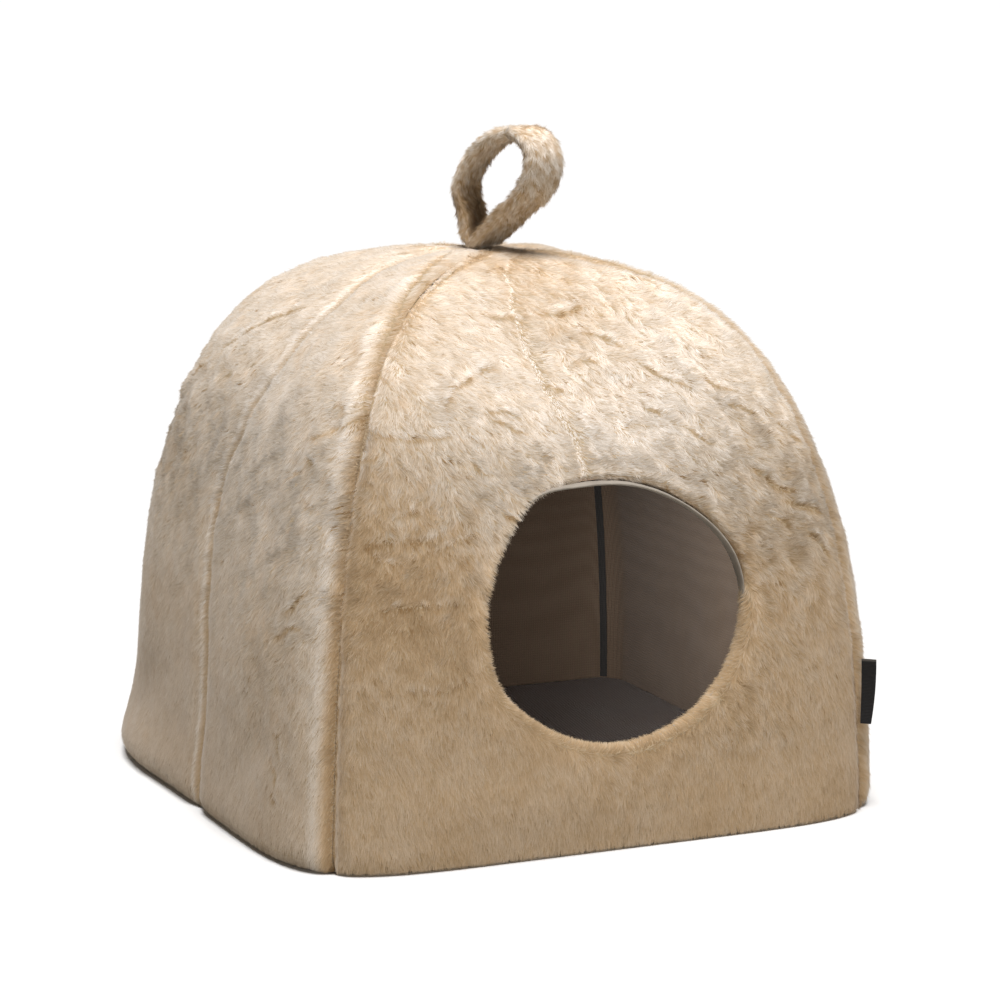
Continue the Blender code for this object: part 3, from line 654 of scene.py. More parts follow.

# %% [markdown]
# ## Combing the pile
#
# Pile has a nap: it lies one way until a hand, a crease or a seam turns it. Where it lies flat the
# eye sees pale tips; where it stands up, or parts, it looks down to the darker, more golden roots.
# So each strand needs a direction, a lift from the cloth, and a tone. A short table gives these at
# a few places on each wall, blended by distance, and random waves on top make the tousled look. The
# tone also holds painted light: whiter where the overhead light falls on the upper walls, and deeper
# gold as painted shade on the shaded left of the front.

# %% The nap, by place
# Angle 0 points straight down, and to the right as seen from outside for a positive angle. Lift is in
# degrees from the cloth. Tousle is how strongly waves turn the nap. Tone is -1 for white, 0 for cream, 1
# for gold and 2 for deep gold; its whiter values on the upper rows are partly painted highlight, and the
# deep gold low on the front's left is painted shade.
NAP = {
    # sideways, height, reach, angle, lift, tousle, tone
    "front": (
        (-110, 285, 50, 35, 40, 0.8, 0.1),
        # The whiter tones of the upper rows are partly painted highlight where the overhead light falls
        (-75, 245, 60, 42, 30, 0.9, -0.7),
        (8, 303, 26, 40, 40, 1.2, 1.0),
        (20, 262, 40, 55, 30, 1.0, -0.8),
        (60, 270, 55, 60, 30, 1.0, -0.65),
        (110, 240, 40, 70, 32, 1.0, -0.2),
        (135, 215, 40, 60, 34, 1.0, 0.45),
        (-60, 205, 40, 30, 30, 0.9, -0.1),
        # These two rows' deep gold is painted shade on the shaded left of the front
        (-140, 200, 45, -35, 36, 1.0, 1.5),
        (-120, 165, 35, -70, 34, 0.9, 1.8),
        (-130, 120, 45, 10, 24, 0.65, 0.85),
        (-110, 60, 60, 5, 20, 0.35, 0.8),
        (0, 30, 70, 0, 20, 0.3, 0.85),
        (110, 40, 70, 0, 20, 0.3, 0.85),
        (130, 110, 45, 25, 24, 0.65, 0.7),
        (125, 180, 35, 60, 34, 1.0, 0.55),
        (78, 80, 24, 70, 36, 1.2, 0.9),
        (98, 140, 18, 50, 34, 1.1, 0.9),
        (0, 54, 20, 20, 30, 0.8, 0.8),
    ),
    "left": (
        (130, 290, 60, -55, 36, 0.8, 0.3),
        (90, 225, 60, -45, 24, 1.0, -0.6),
        (-60, 280, 80, -60, 20, 0.8, -0.35),
        (-80, 200, 70, -50, 24, 1.1, 0.1),
        (-125, 225, 30, -50, 28, 1.4, 0.2),
        (90, 140, 60, -35, 24, 0.9, 0.25),
        (-80, 90, 80, -10, 16, 0.25, 0.45),
        (80, 60, 70, -5, 16, 0.2, 0.4),
    ),
    "right": (
        (0, 280, 80, 40, 30, 0.8, 0.2),
        (-90, 180, 80, 20, 26, 0.7, 0.4),
        (90, 180, 80, 40, 26, 0.8, 0.35),
        (0, 60, 120, 0, 20, 0.3, 0.7),
    ),
    "rear": (
        (0, 280, 80, -30, 30, 0.8, 0.2),
        (-90, 180, 80, -20, 26, 0.8, 0.35),
        (90, 180, 80, 30, 26, 0.7, 0.4),
        (0, 60, 120, 0, 20, 0.3, 0.7),
    ),
}

# Partings where the nap opens in a short line of painted shade: sideways, height, half-length, turn,
# half-width
PARTINGS = {
    "front": (
        (-104, 243, 26, -6, 1.3), (-52, 252, 13, -14, 1.2), (-50, 245, 11, -20, 1.1),
        (-66, 272, 15, 12, 1.4),
        (-74, 224, 9, -30, 1.2), (-60, 197, 9, -38, 1.3), (-30, 206, 8, -10, 1.2), (-28, 300, 11, -12, 1.5),
        (8, 302, 15, 5, 1.5), (24, 288, 14, -20, 1.4), (12, 276, 10, 10, 1.3), (52, 268, 16, -28, 1.2),
        (84, 262, 14, -30, 1.2), (100, 245, 16, -26, 1.3), (62, 236, 12, -30, 1.2),
        (126, 232, 13, -30, 1.2),
        (-140, 230, 10, 40, 1.2), (-118, 206, 12, 30, 1.2), (40, 250, 8, -40, 1.1), (-10, 262, 9, -20, 1.1),
        (-96, 186, 12, 20, 1.2), (-136, 178, 9, -30, 1.2), (20, 240, 9, 10, 1.1), (-84, 264, 10, 35, 1.1),
        (108, 206, 16, -32, 1.5), (128, 190, 15, -24, 1.4), (112, 182, 10, -36, 1.3),
        (137, 168, 12, -40, 1.3),
        (-126, 188, 22, 6, 1.6), (-120, 152, 24, 4, 1.5), (-112, 106, 18, 3, 1.2), (-70, 152, 9, 10, 1.2),
    ),
    "left": (
        (-40, 286, 34, 26, 1.4), (-96, 252, 14, 30, 1.3), (-110, 238, 12, 40, 1.3),
        (-118, 222, 12, 20, 1.2),
        (-106, 226, 10, -20, 1.2), (-128, 206, 12, 35, 1.3), (-120, 190, 10, 10, 1.2),
        (-134, 176, 12, 50, 1.2),
        (118, 258, 9, -20, 1.4), (126, 248, 8, 30, 1.4), (108, 240, 9, 10, 1.5), (116, 226, 8, -30, 1.5),
        (100, 218, 9, 20, 1.3), (128, 204, 9, -20, 1.3), (140, 150, 10, 40, 1.4), (136, 134, 12, 25, 1.4),
        (138, 70, 9, -60, 1.3), (136, 54, 8, -60, 1.3), (140, 38, 7, -50, 1.2),
    ),
    "right": (
        (-60, 250, 18, 20, 1.3), (40, 230, 20, -20, 1.3), (80, 180, 16, 15, 1.2), (-90, 160, 18, -20, 1.3),
    ),
    "rear": (
        (-70, 250, 18, -20, 1.3), (50, 225, 20, 20, 1.3), (-90, 170, 16, -15, 1.2), (90, 150, 18, 20, 1.3),
    ),
}


def blended(rows, sideways, height):
    """Nap at each place: rows weighted by e^-(distance^2 / 1.6 reach^2), angles blended as arrows."""
    total = np.full(sideways.shape, 1e-6)
    sums = np.zeros((5, *sideways.shape))
    for across, high, reach, angle, lift, tousle, tone in rows:
        weight = np.exp(-((sideways - across) ** 2 + (height - high) ** 2) / (1.6 * reach**2)) + 1e-5
        angle = math.radians(angle)
        total = total + weight
        for k, value in enumerate((math.sin(angle), math.cos(angle), lift, tousle, tone)):
            sums[k] += weight * value
    sums /= total
    return np.arctan2(sums[0], sums[1]), sums[2], sums[3], sums[4]


# %% [markdown]
# ## Strands as one mesh
#
# Millions of hairs would be too heavy, so one strand stands for a lock of a few dozen: a slim
# triangle, just under 0.6 mm wide at its root. It could also be a tube or a curve, but a triangle
# is the lightest, and the pile lies so flat that its section never shows. Places are drawn at
# random over the cloth, evenly by area, and all strands are computed at once as arrays. Each
# strand's shading normal is partly the wall's own, because a pile reflects light like one soft
# surface and not like a heap of flat ribbons.

# %% Scatter places over a grid
def area_heap(points, ring=False):
    """The areas of a grid's cells heaped up one by one, so that the last is the whole; and the columns."""
    wrapped = np.concatenate([points, points[:, :1]], axis=1) if ring else points
    first = wrapped[:-1, :-1]
    area = np.linalg.norm(np.cross(wrapped[:-1, 1:] - first, wrapped[1:, :-1] - first), axis=-1)
    return np.cumsum(area.ravel()), area.shape[1]


def scattered(points, count, chance, ring=False):
    """`count` random places on a grid, even by area: row, column and the part of the way to the next."""
    heap, columns = area_heap(points, ring)
    cell = np.searchsorted(heap, chance.uniform(0, heap[-1], count))
    part_up, part_side = chance.uniform(size=count), chance.uniform(size=count)
    return cell // columns, cell % columns, part_up, part_side


def between(values, row, column, part_up, part_side):
    """Bilinear values of a grid at scattered places; the last column is followed by the first."""
    following = (column + 1) % values.shape[1]
    if values.ndim == 3:
        part_up, part_side = part_up[:, None], part_side[:, None]
    low = values[row, column] * (1 - part_side) + values[row, following] * part_side
    high = values[row + 1, column] * (1 - part_side) + values[row + 1, following] * part_side
    return low * (1 - part_up) + high * part_up


# %% Grow strands
STRAND_WIDE, STRAND_LONG, TIP_LOWEST = 0.58, 5.0, 0.2


def strands(name, root, normal, facing, nap, chance, wide=STRAND_WIDE):
    """One mesh of slim triangles: each tip is root + length x (normal sin(lift) + flow cos(lift))."""
    flow, lift, length, tone, spread = nap
    count = len(root)
    lift = np.radians(lift)[:, None]
    way = normal * np.sin(lift) + flow * np.cos(lift)
    tip = root + way * length[:, None]
    tip[:, 2] = np.maximum(tip[:, 2], TIP_LOWEST)
    across = unit(np.cross(way, normal) + 0.1 * chance.normal(size=(count, 3)))
    across *= (wide * chance.uniform(0.7, 1.3, count) / 2)[:, None]
    points = np.stack([root - across, root + across, tip], axis=1)
    faces = np.arange(3 * count).reshape(count, 3)
    inwards = (np.cross(points[:, 1] - points[:, 0], points[:, 2] - points[:, 0]) * normal).sum(axis=1) < 0
    faces[inwards] = faces[inwards][:, ::-1]
    piece = new_piece(name, points.reshape(-1, 3), faces, smooth_angle=None)
    mesh = piece.data
    along = np.tile(np.array([0, 0, 1.0]), count)
    strand = np.clip(0.5 + (chance.uniform(size=count) - 0.5) * spread, 0, 1)
    values = {"along": along, "strand": np.repeat(strand, 3), "tone": np.repeat(tone, 3)}
    for key, value in values.items():
        mesh.attributes.new(key, "FLOAT", "POINT").data.foreach_set("value", value.astype(np.float32))
    square = unit(facing - way * (facing * way).sum(axis=1, keepdims=True))
    soft = unit(0.55 * facing + 0.45 * square + 0.05 * spread[:, None] * chance.normal(size=(count, 3)))
    mesh.normals_split_custom_set_from_vertices(np.repeat(soft, 3, axis=0).tolist())
    lay_out_strands(mesh, faces, count)
    return piece


def lay_out_strands(mesh, faces, count):
    """A map with a small cell for each strand, so that a baked picture can hold each one's colour."""
    across = math.ceil(math.sqrt(count))
    cell = np.arange(count)
    corner = np.stack([cell % across, cell // across], axis=1)[:, None, :]
    corners = np.array([[0.1, 0.1], [0.9, 0.1], [0.5, 0.9]])[None]
    places = ((corner + corners) / across).reshape(-1, 2)
    layer = mesh.uv_layers.new(name="OFBake")
    layer.data.foreach_set("uv", places[faces.ravel()].astype(np.float32).ravel())


def locks(sideways, height, size, seed):
    """A random number from -1 to 1 for each small lock of pile: one per cell of a bent, long grid."""
    bent = sideways + 0.35 * height + 0.5 * size * np.sin(height / size * 0.9)
    column = np.floor(bent / size)
    row = np.floor((height - 0.2 * sideways + 0.5 * size * np.sin(sideways / size * 0.7)) / (1.8 * size))
    value = np.sin(column * 127.1 + row * 311.7 + seed * 74.7) * 43758.5453
    return 2 * (value - np.floor(value)) - 1


STREAK_TURN = {"front": 42, "left": -50, "right": 40, "rear": -35}


def streaks(side, sideways, height, long, fine, seed):
    """Random streaks from -1 to 1 that run down along the side's own slant: waves in stretched places."""
    turn = math.radians(STREAK_TURN[side])
    along = sideways * math.sin(turn) - height * math.cos(turn)
    aside = sideways * math.cos(turn) + height * math.sin(turn)
    return waves(np.stack([along / long, aside / fine, along / (2 * long)], axis=-1), 1.0, seed, 16)


# %% Comb a wall
LOCK_SIZE, STREAK_LONG, STREAK_FINE, DASH_FINE, DASH_START = 3.2, 8, 2.0, 2.2, 0.7


def combed(side, spot, chance):
    """Angle, lift, length, tone and tousle: the table's, stirred by waves, locks, streaks and painted-shade
    dashes.
    """
    sideways, height, count = sideways_of(side, spot), spot[..., 2], len(spot)
    angle, lift, tousle, tone = blended(NAP[side], sideways, height)
    angle = angle + tousle * (0.45 * waves(spot, 42, 21) + 0.5 * waves(spot, 15, 22))
    angle = angle + 0.16 * chance.normal(size=count)
    lift = 0.55 * lift * (1 + 0.3 * tousle * waves(spot, 19, 23)) + 3 * chance.normal(size=count)
    length = STRAND_LONG * (1 + 0.14 * chance.normal(size=count) + 0.12 * tousle * waves(spot, 13, 24))
    tone = tone + 0.22 * tousle * waves(spot, 17, 25) + 0.1 * waves(spot, 60, 26)
    lock = locks(sideways, height, LOCK_SIZE, 5)
    angle, tone = angle + 0.45 * tousle * lock, tone + 0.2 * tousle * lock
    lift = lift * (1 + 0.3 * tousle * locks(sideways, height, LOCK_SIZE, 8))
    streak = streaks(side, sideways, height, STREAK_LONG, STREAK_FINE, 41)
    # Dashes are painted shade in the gaps between locks: deep gold, with shorter strands.
    shaded_gap = np.clip(streaks(side, sideways, height, STREAK_LONG, DASH_FINE, 42) - DASH_START, 0, 1) * 4.5
    shaded_gap = shaded_gap * np.clip(waves(spot, 36, 27) + 0.35, 0, 1) * np.clip(1.4 * tousle - 0.3, 0, 1)
    tone = tone + 0.34 * tousle * streak + 1.3 * shaded_gap
    lift = lift * (1 + 0.5 * tousle * streak)
    return angle, lift, length * (1 - 0.3 * np.clip(shaded_gap, 0, 1)), tone, tousle


# What seams do to the nap. Place (0 is the middle seam, -1 and 1 the corners), push to both sides, its
# spread in mm and the lift in degrees; then the painted shade of the line itself and its half-width, the
# painted highlight on the raised pile beside it, how far off and its half-width. The front's dart has
# both turned round: a painted highlight along its crest, and painted shade beside it.
SEAM_LINES = {
    "front": ((0, 0.0, 4, 0, -2.0, 1.5, -0.3, 5, 3), (-1, 0.7, 4, 10, 1.3, 1.6, 0.6, 4.5, 2.0),
              (1, 0.8, 8, 20, 0.6, 2.5, 0.3, 9, 3)),
    "left": ((0, 0.9, 5, 18, 0.6, 3.4, 0.9, 5.8, 1.6), (1, 0.7, 12, 30, 1.25, 8, 0.6, 18, 6),
             (-1, 0.8, 9, 20, 0.4, 5, 0.2, 9, 3)),
    "right": ((0, 0.9, 7, 24, 0.5, 4, 0.4, 9, 3), (1, 0.9, 12, 30, 0.7, 7, 0.3, 15, 4),
              (-1, 0.9, 12, 30, 0.7, 7, 0.3, 15, 4)),
}
SEAM_LINES["rear"] = SEAM_LINES["right"]


def past_seams(side, across, up, height, right, down, lift, length, tone):
    """The nap with its seams: each row's push, lift, painted shade and highlight fade as e^-(distance /
    spread)^2.
    """
    reach, seam = seam_reach(side, up)
    for line, push, spread, more, dark, crease_shade_wide, pale, highlight_away, highlight_wide in SEAM_LINES[side]:
        away = (across - (seam if line == 0 else line)) * reach
        present = np.clip((reach - 25) / 60, 0, 1)
        present = present * (height > 200) if side == "front" and line == 0 else present
        near = np.exp(-((away / spread) ** 2)) * present
        right, lift = right + push * near * np.sign(away), lift + more * near
        # Painted shade darkens the seam's crease and a painted highlight whitens the raised pile beside it;
        # on the dart both are turned round.
        tone = tone + dark * np.exp(-((away / crease_shade_wide) ** 2)) * present
        tone = tone - pale * np.exp(-(((np.abs(away) - highlight_away) / highlight_wide) ** 2)) * present
        length = length * (1 - 0.5 * np.exp(-((away / 2.5) ** 2)) * present)
        if dark < 0:
            calm = np.exp(-((away / 3.5) ** 2)) * present
            right, down = right * (1 - calm), down * (1 - calm) + calm
            length = length * (1 - 0.35 * np.exp(-((away / 5) ** 2)) * present)
    return right, down, lift, length, tone


def past_partings(side, spot, right, down, lift, length, tone):
    """The nap pulled to both sides of each parting: a short line of painted shade, with a painted highlight
    on its lip.
    """
    sideways, height = sideways_of(side, spot), spot[..., 2]
    broken = waves(spot, 7, 28)
    for middle, high, half_length, turn, half_wide in PARTINGS[side]:
        turn = math.radians(turn)
        beside, above = sideways - middle, height - high
        along = (beside * math.cos(turn) + above * math.sin(turn)) / half_length
        off = above * math.cos(turn) - beside * math.sin(turn) + 1.1 * np.sin(3.1 * along + middle)
        core = np.exp(-(along**4))
        pull = core * np.exp(-((off / (2 * half_wide)) ** 2))
        down = down - 0.8 * pull * np.sign(off) * math.cos(turn)
        right = right - 0.8 * pull * np.sign(off) * math.sin(turn)
        # The parting's core is deep gold, partly the roots that show and partly painted shade, with shorter
        # strands; its lip is a painted highlight.
        shaded_core = core * np.exp(-((off / (0.75 * half_wide)) ** 2)) * np.clip(0.6 + 0.9 * broken, 0, 1)
        lit_lip = core * np.exp(-((off / half_wide - 2.6) ** 2)) * np.clip(0.5 + 0.9 * broken, 0, 1)
        length, tone = length * (1 - 0.55 * shaded_core), tone + 1.9 * shaded_core - 0.9 * lit_lip
    return right, down, lift, length, tone


def nap_of(side, spot, across, up, normal, chance):
    """Direction, lift, length, tone and unevenness of the strands at places on a wall."""
    angle, lift, length, tone, tousle = combed(side, spot, chance)
    nap = past_seams(side, across, up, spot[:, 2], np.sin(angle), np.cos(angle), lift, length, tone)
    right, down, lift, length, tone = past_partings(side, spot, *nap)
    downwards = unit(np.array([0, 0, -1.0]) - normal * -normal[:, 2:])
    rightwards = unit(np.cross(downwards, normal))
    outwards = turned(side, np.ones(1), np.zeros(1), 0)[0]
    rightwards *= np.sign((rightwards * outwards).sum(axis=1, keepdims=True))
    flow = unit(rightwards * right[:, None] + downwards * down[:, None])
    uneven = np.clip(0.3 + tousle, 0.3, 1.3)
    return flow, np.clip(lift, 8, 85), np.clip(length, 2, 9), np.clip(tone, -1, 2), uneven


# %% Pile of the walls
# Strands per square millimetre, with more on the front and the left, which the photograph shows
DENSITY = {"front": 1.95, "left": 2.0, "right": 1.3, "rear": 1.2}
MOST_STRANDS, QUICK_SHARE = 195000, 0.4
# The heights where locks begin to hang plumb, on the front, where it also slopes, and on the other sides
HANG_START, HANG_SLOPE, HANG_START_SIDES, HANG_FADE = 195, -0.12, 198, 85
pile_pieces = {}


def hanging(side, spot, normal):
    """The way the pile's surface faces: level on the low walls, where locks hang plumb."""
    start = HANG_START + HANG_SLOPE * spot[:, 0] if side == "front" else HANG_START_SIDES
    level = np.clip((spot[:, 2] - start) / HANG_FADE, 0, 1)
    level = 0.05 + 0.95 * level**2 * (3 - 2 * level)
    if side == "front":
        level = np.maximum(level, np.exp(-((outside_opening(spot[:, 0], spot[:, 2]) / 7) ** 2)))
    return unit(normal * np.stack([0 * level + 1, 0 * level + 1, level], axis=-1))


def wall_pile(cad_node, side, points, across, ups, seed, ring=False):
    """The pile of one wall: scattered places on its cloth, each with its nap."""
    chance = np.random.default_rng(seed)
    normals = grid_normals(points, ring)
    area = area_heap(points, ring)[0][-1]
    count = int(min(area * DENSITY[side], MOST_STRANDS) * (1))
    at = scattered(points, count, chance, ring)
    root = between(points, *at)
    normal = unit(between(normals, *at))
    place_across, place_up = between(across, *at), between(ups, *at)
    nap = nap_of(side, root, place_across, place_up, normal, chance)
    if ring:
        nap = rim_nap(root, normal, *nap)
    name = cad_node.replace("panel", "pile")
    piece = strands(name, root, normal, hanging(side, root, normal), nap, chance)
    print(name, "strands:", count, "area, cm2:", round(area / 100))
    return piece


def over_edging(angle):
    """1 where the edging shows, from the opening's upper left to its right, and 0 where pile hides it."""
    return np.exp(-((((np.degrees(angle) - 60 + 180) % 360 - 180) / 54) ** 8))


def rim_nap(root, normal, flow, lift, length, tone, spread):
    """Round the opening the nap leans over the rim and hides it, but away from it along the top."""
    right = (root[:, 0] - OPENING_MIDDLE[0]) / OPENING_HALF[0]
    above = (root[:, 2] - OPENING_MIDDLE[1]) / OPENING_HALF[1]
    angle = np.arctan2(above, right)
    edge_right, edge_above = opening_curve(angle)
    reach = np.hypot(edge_right - OPENING_MIDDLE[0], edge_above - OPENING_MIDDLE[1])
    away = np.hypot(root[:, 0] - OPENING_MIDDLE[0], root[:, 2] - OPENING_MIDDLE[1]) - reach
    shown = over_edging(angle)
    near = np.exp(-((np.maximum(away, 0) / 12) ** 2))
    close = np.exp(-((np.maximum(away - 1.5, 0) / 4) ** 2))
    outwards = np.stack([right, 0 * right, above], axis=1)
    outwards = unit(outwards - normal * (outwards * normal).sum(axis=1, keepdims=True))
    push = near * (0.9 * shown - 0.5 * (1 - shown)) - 3.0 * close * (1 - shown)
    flow = unit(flow + outwards * push[:, None])
    lift = lift + near * (12 * shown + 18 * (1 - shown)) - 18 * close * (1 - shown)
    length = length * (1 - 0.45 * close * shown - 0.2 * close * (1 - shown))
    return flow, np.clip(lift, 6, 80), length, tone + 0.25 * near, spread


for seed, (cad_node, (side, across, ups)) in enumerate(grids.items()):
    points = sunk_wall(side, across, ups, PILE_DEPTH)
    pile_pieces[cad_node] = wall_pile(cad_node, side, points, across, ups, 100 + seed)
front_places = [np.concatenate([values[:1], values]) for values in (front_across, front_ups)]
pile_pieces["front_panel"] = wall_pile("front_panel", "front", front_outer, *front_places, 90, ring=True)

# %% [markdown]
# ## Finish of the plush
#
# The real cloth is a polyester fur knit with a sheared pile: matt, with a soft sheen at grazing
# angles. The roots are a warm tan, and the tips are paler. The strand meshes carry three values,
# `along` from root to tip, `tone` from white (-1) over cream (0) and gold (1) to deep gold (2), and
# `strand`, a random number, and the material mixes its colours from them. A darker strand is also
# warmer, because light that goes through pile turns golden. The pile casts no shadow of its own:
# its ground cloth does, and the gaps between locks stay as soft as real ones. The tone paints the
# rest: white for painted highlights, deep gold for painted shade in partings, seams and gaps.

# %% Plush materials
ROOT_TAN, ROOT_GOLD = linear("#D6C7B0"), linear("#C2A67F")
TIP_PALE, TIP_GOLD = linear("#E7DCCD"), linear("#D3BC9B")
# TIP_WHITE is also the colour of painted highlights, and DEEP_GOLD of painted shade, through the tone.
TIP_WHITE, DEEP_GOLD = linear("#F3ECE2"), linear("#A3845C")
# The darkest and the palest strand, for each channel
STRAND_SHADES = {"Red": (0.83, 1.12), "Green": (0.79, 1.14), "Blue": (0.74, 1.2)}


def pile_material():
    """Polyester pile: colour from root to tip, warmer with tone, and a little different on each strand."""
    made, tree, shader = new_material("polyester_plush_pile", 0.85, sheen=0.25, specular=0.15)
    along = node(tree, "Attribute", output="Fac", attribute_name="along")
    strand = node(tree, "Attribute", output="Fac", attribute_name="strand")
    tone = node(tree, "Attribute", output="Fac", attribute_name="tone")
    root = node(tree, "Mix", {0: tone, 6: ROOT_TAN, 7: ROOT_GOLD}, 2, data_type="RGBA")
    tip = node(tree, "Mix", {0: tone, 6: TIP_PALE, 7: TIP_GOLD}, 2, data_type="RGBA")
    to_tip = node(tree, "MapRange", {0: along, 1: 0.1, 2: 0.85})
    colour = node(tree, "Mix", {0: to_tip, 6: root, 7: tip}, 2, data_type="RGBA")
    whiter = node(tree, "MapRange", {0: tone, 1: -1.0, 2: 0.0, 3: 1.0, 4: 0.0})
    colour = node(tree, "Mix", {0: whiter, 6: colour, 7: TIP_WHITE}, 2, data_type="RGBA")
    deeper = node(tree, "MapRange", {0: tone, 1: 0.9, 2: 2.0})
    colour = node(tree, "Mix", {0: deeper, 6: colour, 7: DEEP_GOLD}, 2, data_type="RGBA")
    shades = {channel: node(tree, "MapRange", {0: strand, 3: dark, 4: pale})
              for channel, (dark, pale) in STRAND_SHADES.items()}
    warmed = node(tree, "CombineColor", shades)
    colour = node(tree, "Mix", {0: 1.0, 6: colour, 7: warmed}, 2, data_type="RGBA", blend_type="MULTIPLY")
    tree.links.new(colour, shader.inputs["Base Color"])
    return made


def cloth_material():
    """The knitted ground under the pile: tan, with loops about 1.2 mm apart that show as a fine bump."""
    made, tree, shader = new_material("polyester_knit_ground", 0.95, sheen=0.1, specular=0.1)
    where = node(tree, "TexCoord", output="Object")
    loops = node(tree, "TexNoise", {"Vector": where, "Scale": 420.0, "Detail": 3.0}, "Fac")
    share = node(tree, "MapRange", {0: loops, 1: 0.35, 2: 0.65})
    colour = node(tree, "Mix", {0: share, 6: linear("#BBA486"), 7: linear("#CDB898")}, 2, data_type="RGBA")
    tree.links.new(colour, shader.inputs["Base Color"])
    bump = node(tree, "Bump", {"Height": loops, "Strength": 0.6, "Distance": 0.001})
    tree.links.new(bump, shader.inputs["Normal"])
    return made


PILE, CLOTH = pile_material(), cloth_material()
for piece in cloths.values():
    piece.data.materials.append(CLOTH)
for piece in pile_pieces.values():
    piece.data.materials.append(PILE)
    piece.visible_shadow = False

# %% [markdown]
# ## The carrying loop
#
# One strip of padded plush, bent into a drop and sewn to the crown at both ends. Its path is a
# circle that is drawn narrow at the foot and leans to one side, and its section is a strip with
# round edges. The strip is shrunk by the depth of the pile, and then gets its own strands.

# %% The loop's surface
LOOP_ACROSS, LOOP_WAIST, LOOP_TALL = 31.5, 0.85, 62.5
LOOP_WIDTH, LOOP_THICK, LOOP_BASE_WIDTH = 32.0, 12.0, 0.92
LOOP_TURN, LOOP_LEAN, LOOP_SHIFT, LOOP_PLACE = 25.0, -26.8, -3.5, (2.0, -1.3)
LOOP_SEAT, LOOP_SINK, LOOP_FOOT, LOOP_PINCH, LOOP_TWIST = 335.9, 5.6, 7.0, 0.56, 11.0
LOOP_PILE_DEPTH, LOOP_STRANDS, LOOP_STRANDS_QUICK = 2.6, 34000, 16000


def strip_section(wide, thick, count=40):
    """A strip's outline, evenly spaced: `wide` and `thick` are halves, and the short edges are round."""
    turn = np.radians(np.arange(0, 91, 15))
    radius = min(wide, thick) * 0.9
    corners = []
    for right, above, start in ((1, 1, 0), (-1, 1, 90), (-1, -1, 180), (1, -1, 270)):
        arc = turn + math.radians(start)
        corners.append(np.stack([right * (wide - radius) + radius * np.cos(arc),
                                 above * (thick - radius) + radius * np.sin(arc)], axis=-1))
    outline = np.concatenate(corners + [corners[0][:1]])
    along = np.concatenate([[0], np.cumsum(np.linalg.norm(np.diff(outline, axis=0), axis=1))])
    at = np.linspace(0, along[-1], count, endpoint=False)
    return np.stack([np.interp(at, along, outline[:, k]) for k in (0, 1)], axis=-1)


def loop_points(shrink, steps=144, count=40):
    """The loop: a section carried round a drop whose two arms meet at the foot, sunk into the pile."""
    turn = np.linspace(0, 2 * math.pi, steps, endpoint=False)
    share = (1 - np.cos(turn)) / 2
    opened = np.clip(share / 0.5, 0, 1)
    opened = LOOP_PINCH + (1 - LOOP_PINCH) * opened**2 * (3 - 2 * opened)
    waist = LOOP_WAIST + (1 - LOOP_WAIST) * share
    across = LOOP_ACROSS * np.sin(turn) * waist * opened + LOOP_LEAN * share
    across = across + LOOP_FOOT * (1 - share) ** 2
    climb = LOOP_SEAT + LOOP_THICK / 2 + LOOP_TALL * share - LOOP_SINK * (1 - share) ** 6
    path = np.stack([across, climb], axis=-1)
    along = unit(np.roll(path, -1, axis=0) - np.roll(path, 1, axis=0))
    outwards = np.stack([along[:, 1], -along[:, 0]], axis=-1)
    section = strip_section(LOOP_WIDTH / 2 - shrink, LOOP_THICK / 2 - shrink, count)
    narrow = LOOP_BASE_WIDTH + (1 - LOOP_BASE_WIDTH) * np.clip(share * 2.5, 0, 1)
    place = path[:, None] + outwards[:, None] * section[None, :, 1:]
    sideways = narrow[:, None] * section[None, :, 0] + LOOP_SHIFT * share[:, None]
    height = np.maximum(place[..., 1], LOOP_SEAT - LOOP_PILE_DEPTH)
    angle = math.radians(LOOP_TURN)
    twist = (angle + math.radians(LOOP_TWIST) * np.sin(turn))[:, None]
    rightwards = LOOP_PLACE[0] + sideways * np.cos(twist) - place[..., 0] * math.sin(angle)
    backwards = LOOP_PLACE[1] + sideways * np.sin(twist) + place[..., 0] * math.cos(angle)
    return np.stack([rightwards, backwards, height], axis=-1)


def ring_faces(rows, columns):
    """Quads of a grid whose rows and columns both close up, as on a ring."""
    index = np.arange(rows * columns).reshape(rows, columns)
    right, above = np.roll(index, -1, axis=1), np.roll(index, -1, axis=0)
    return np.stack([index, right, np.roll(right, -1, axis=0), above], axis=-1).reshape(-1, 4)


loop_core = loop_points(LOOP_PILE_DEPTH)
loop_cloth = closed_piece("loop_cloth", loop_core.reshape(-1, 3), ring_faces(*loop_core.shape[:2]))
loop_cloth.data.materials.append(CLOTH)
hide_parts("carry_loop")


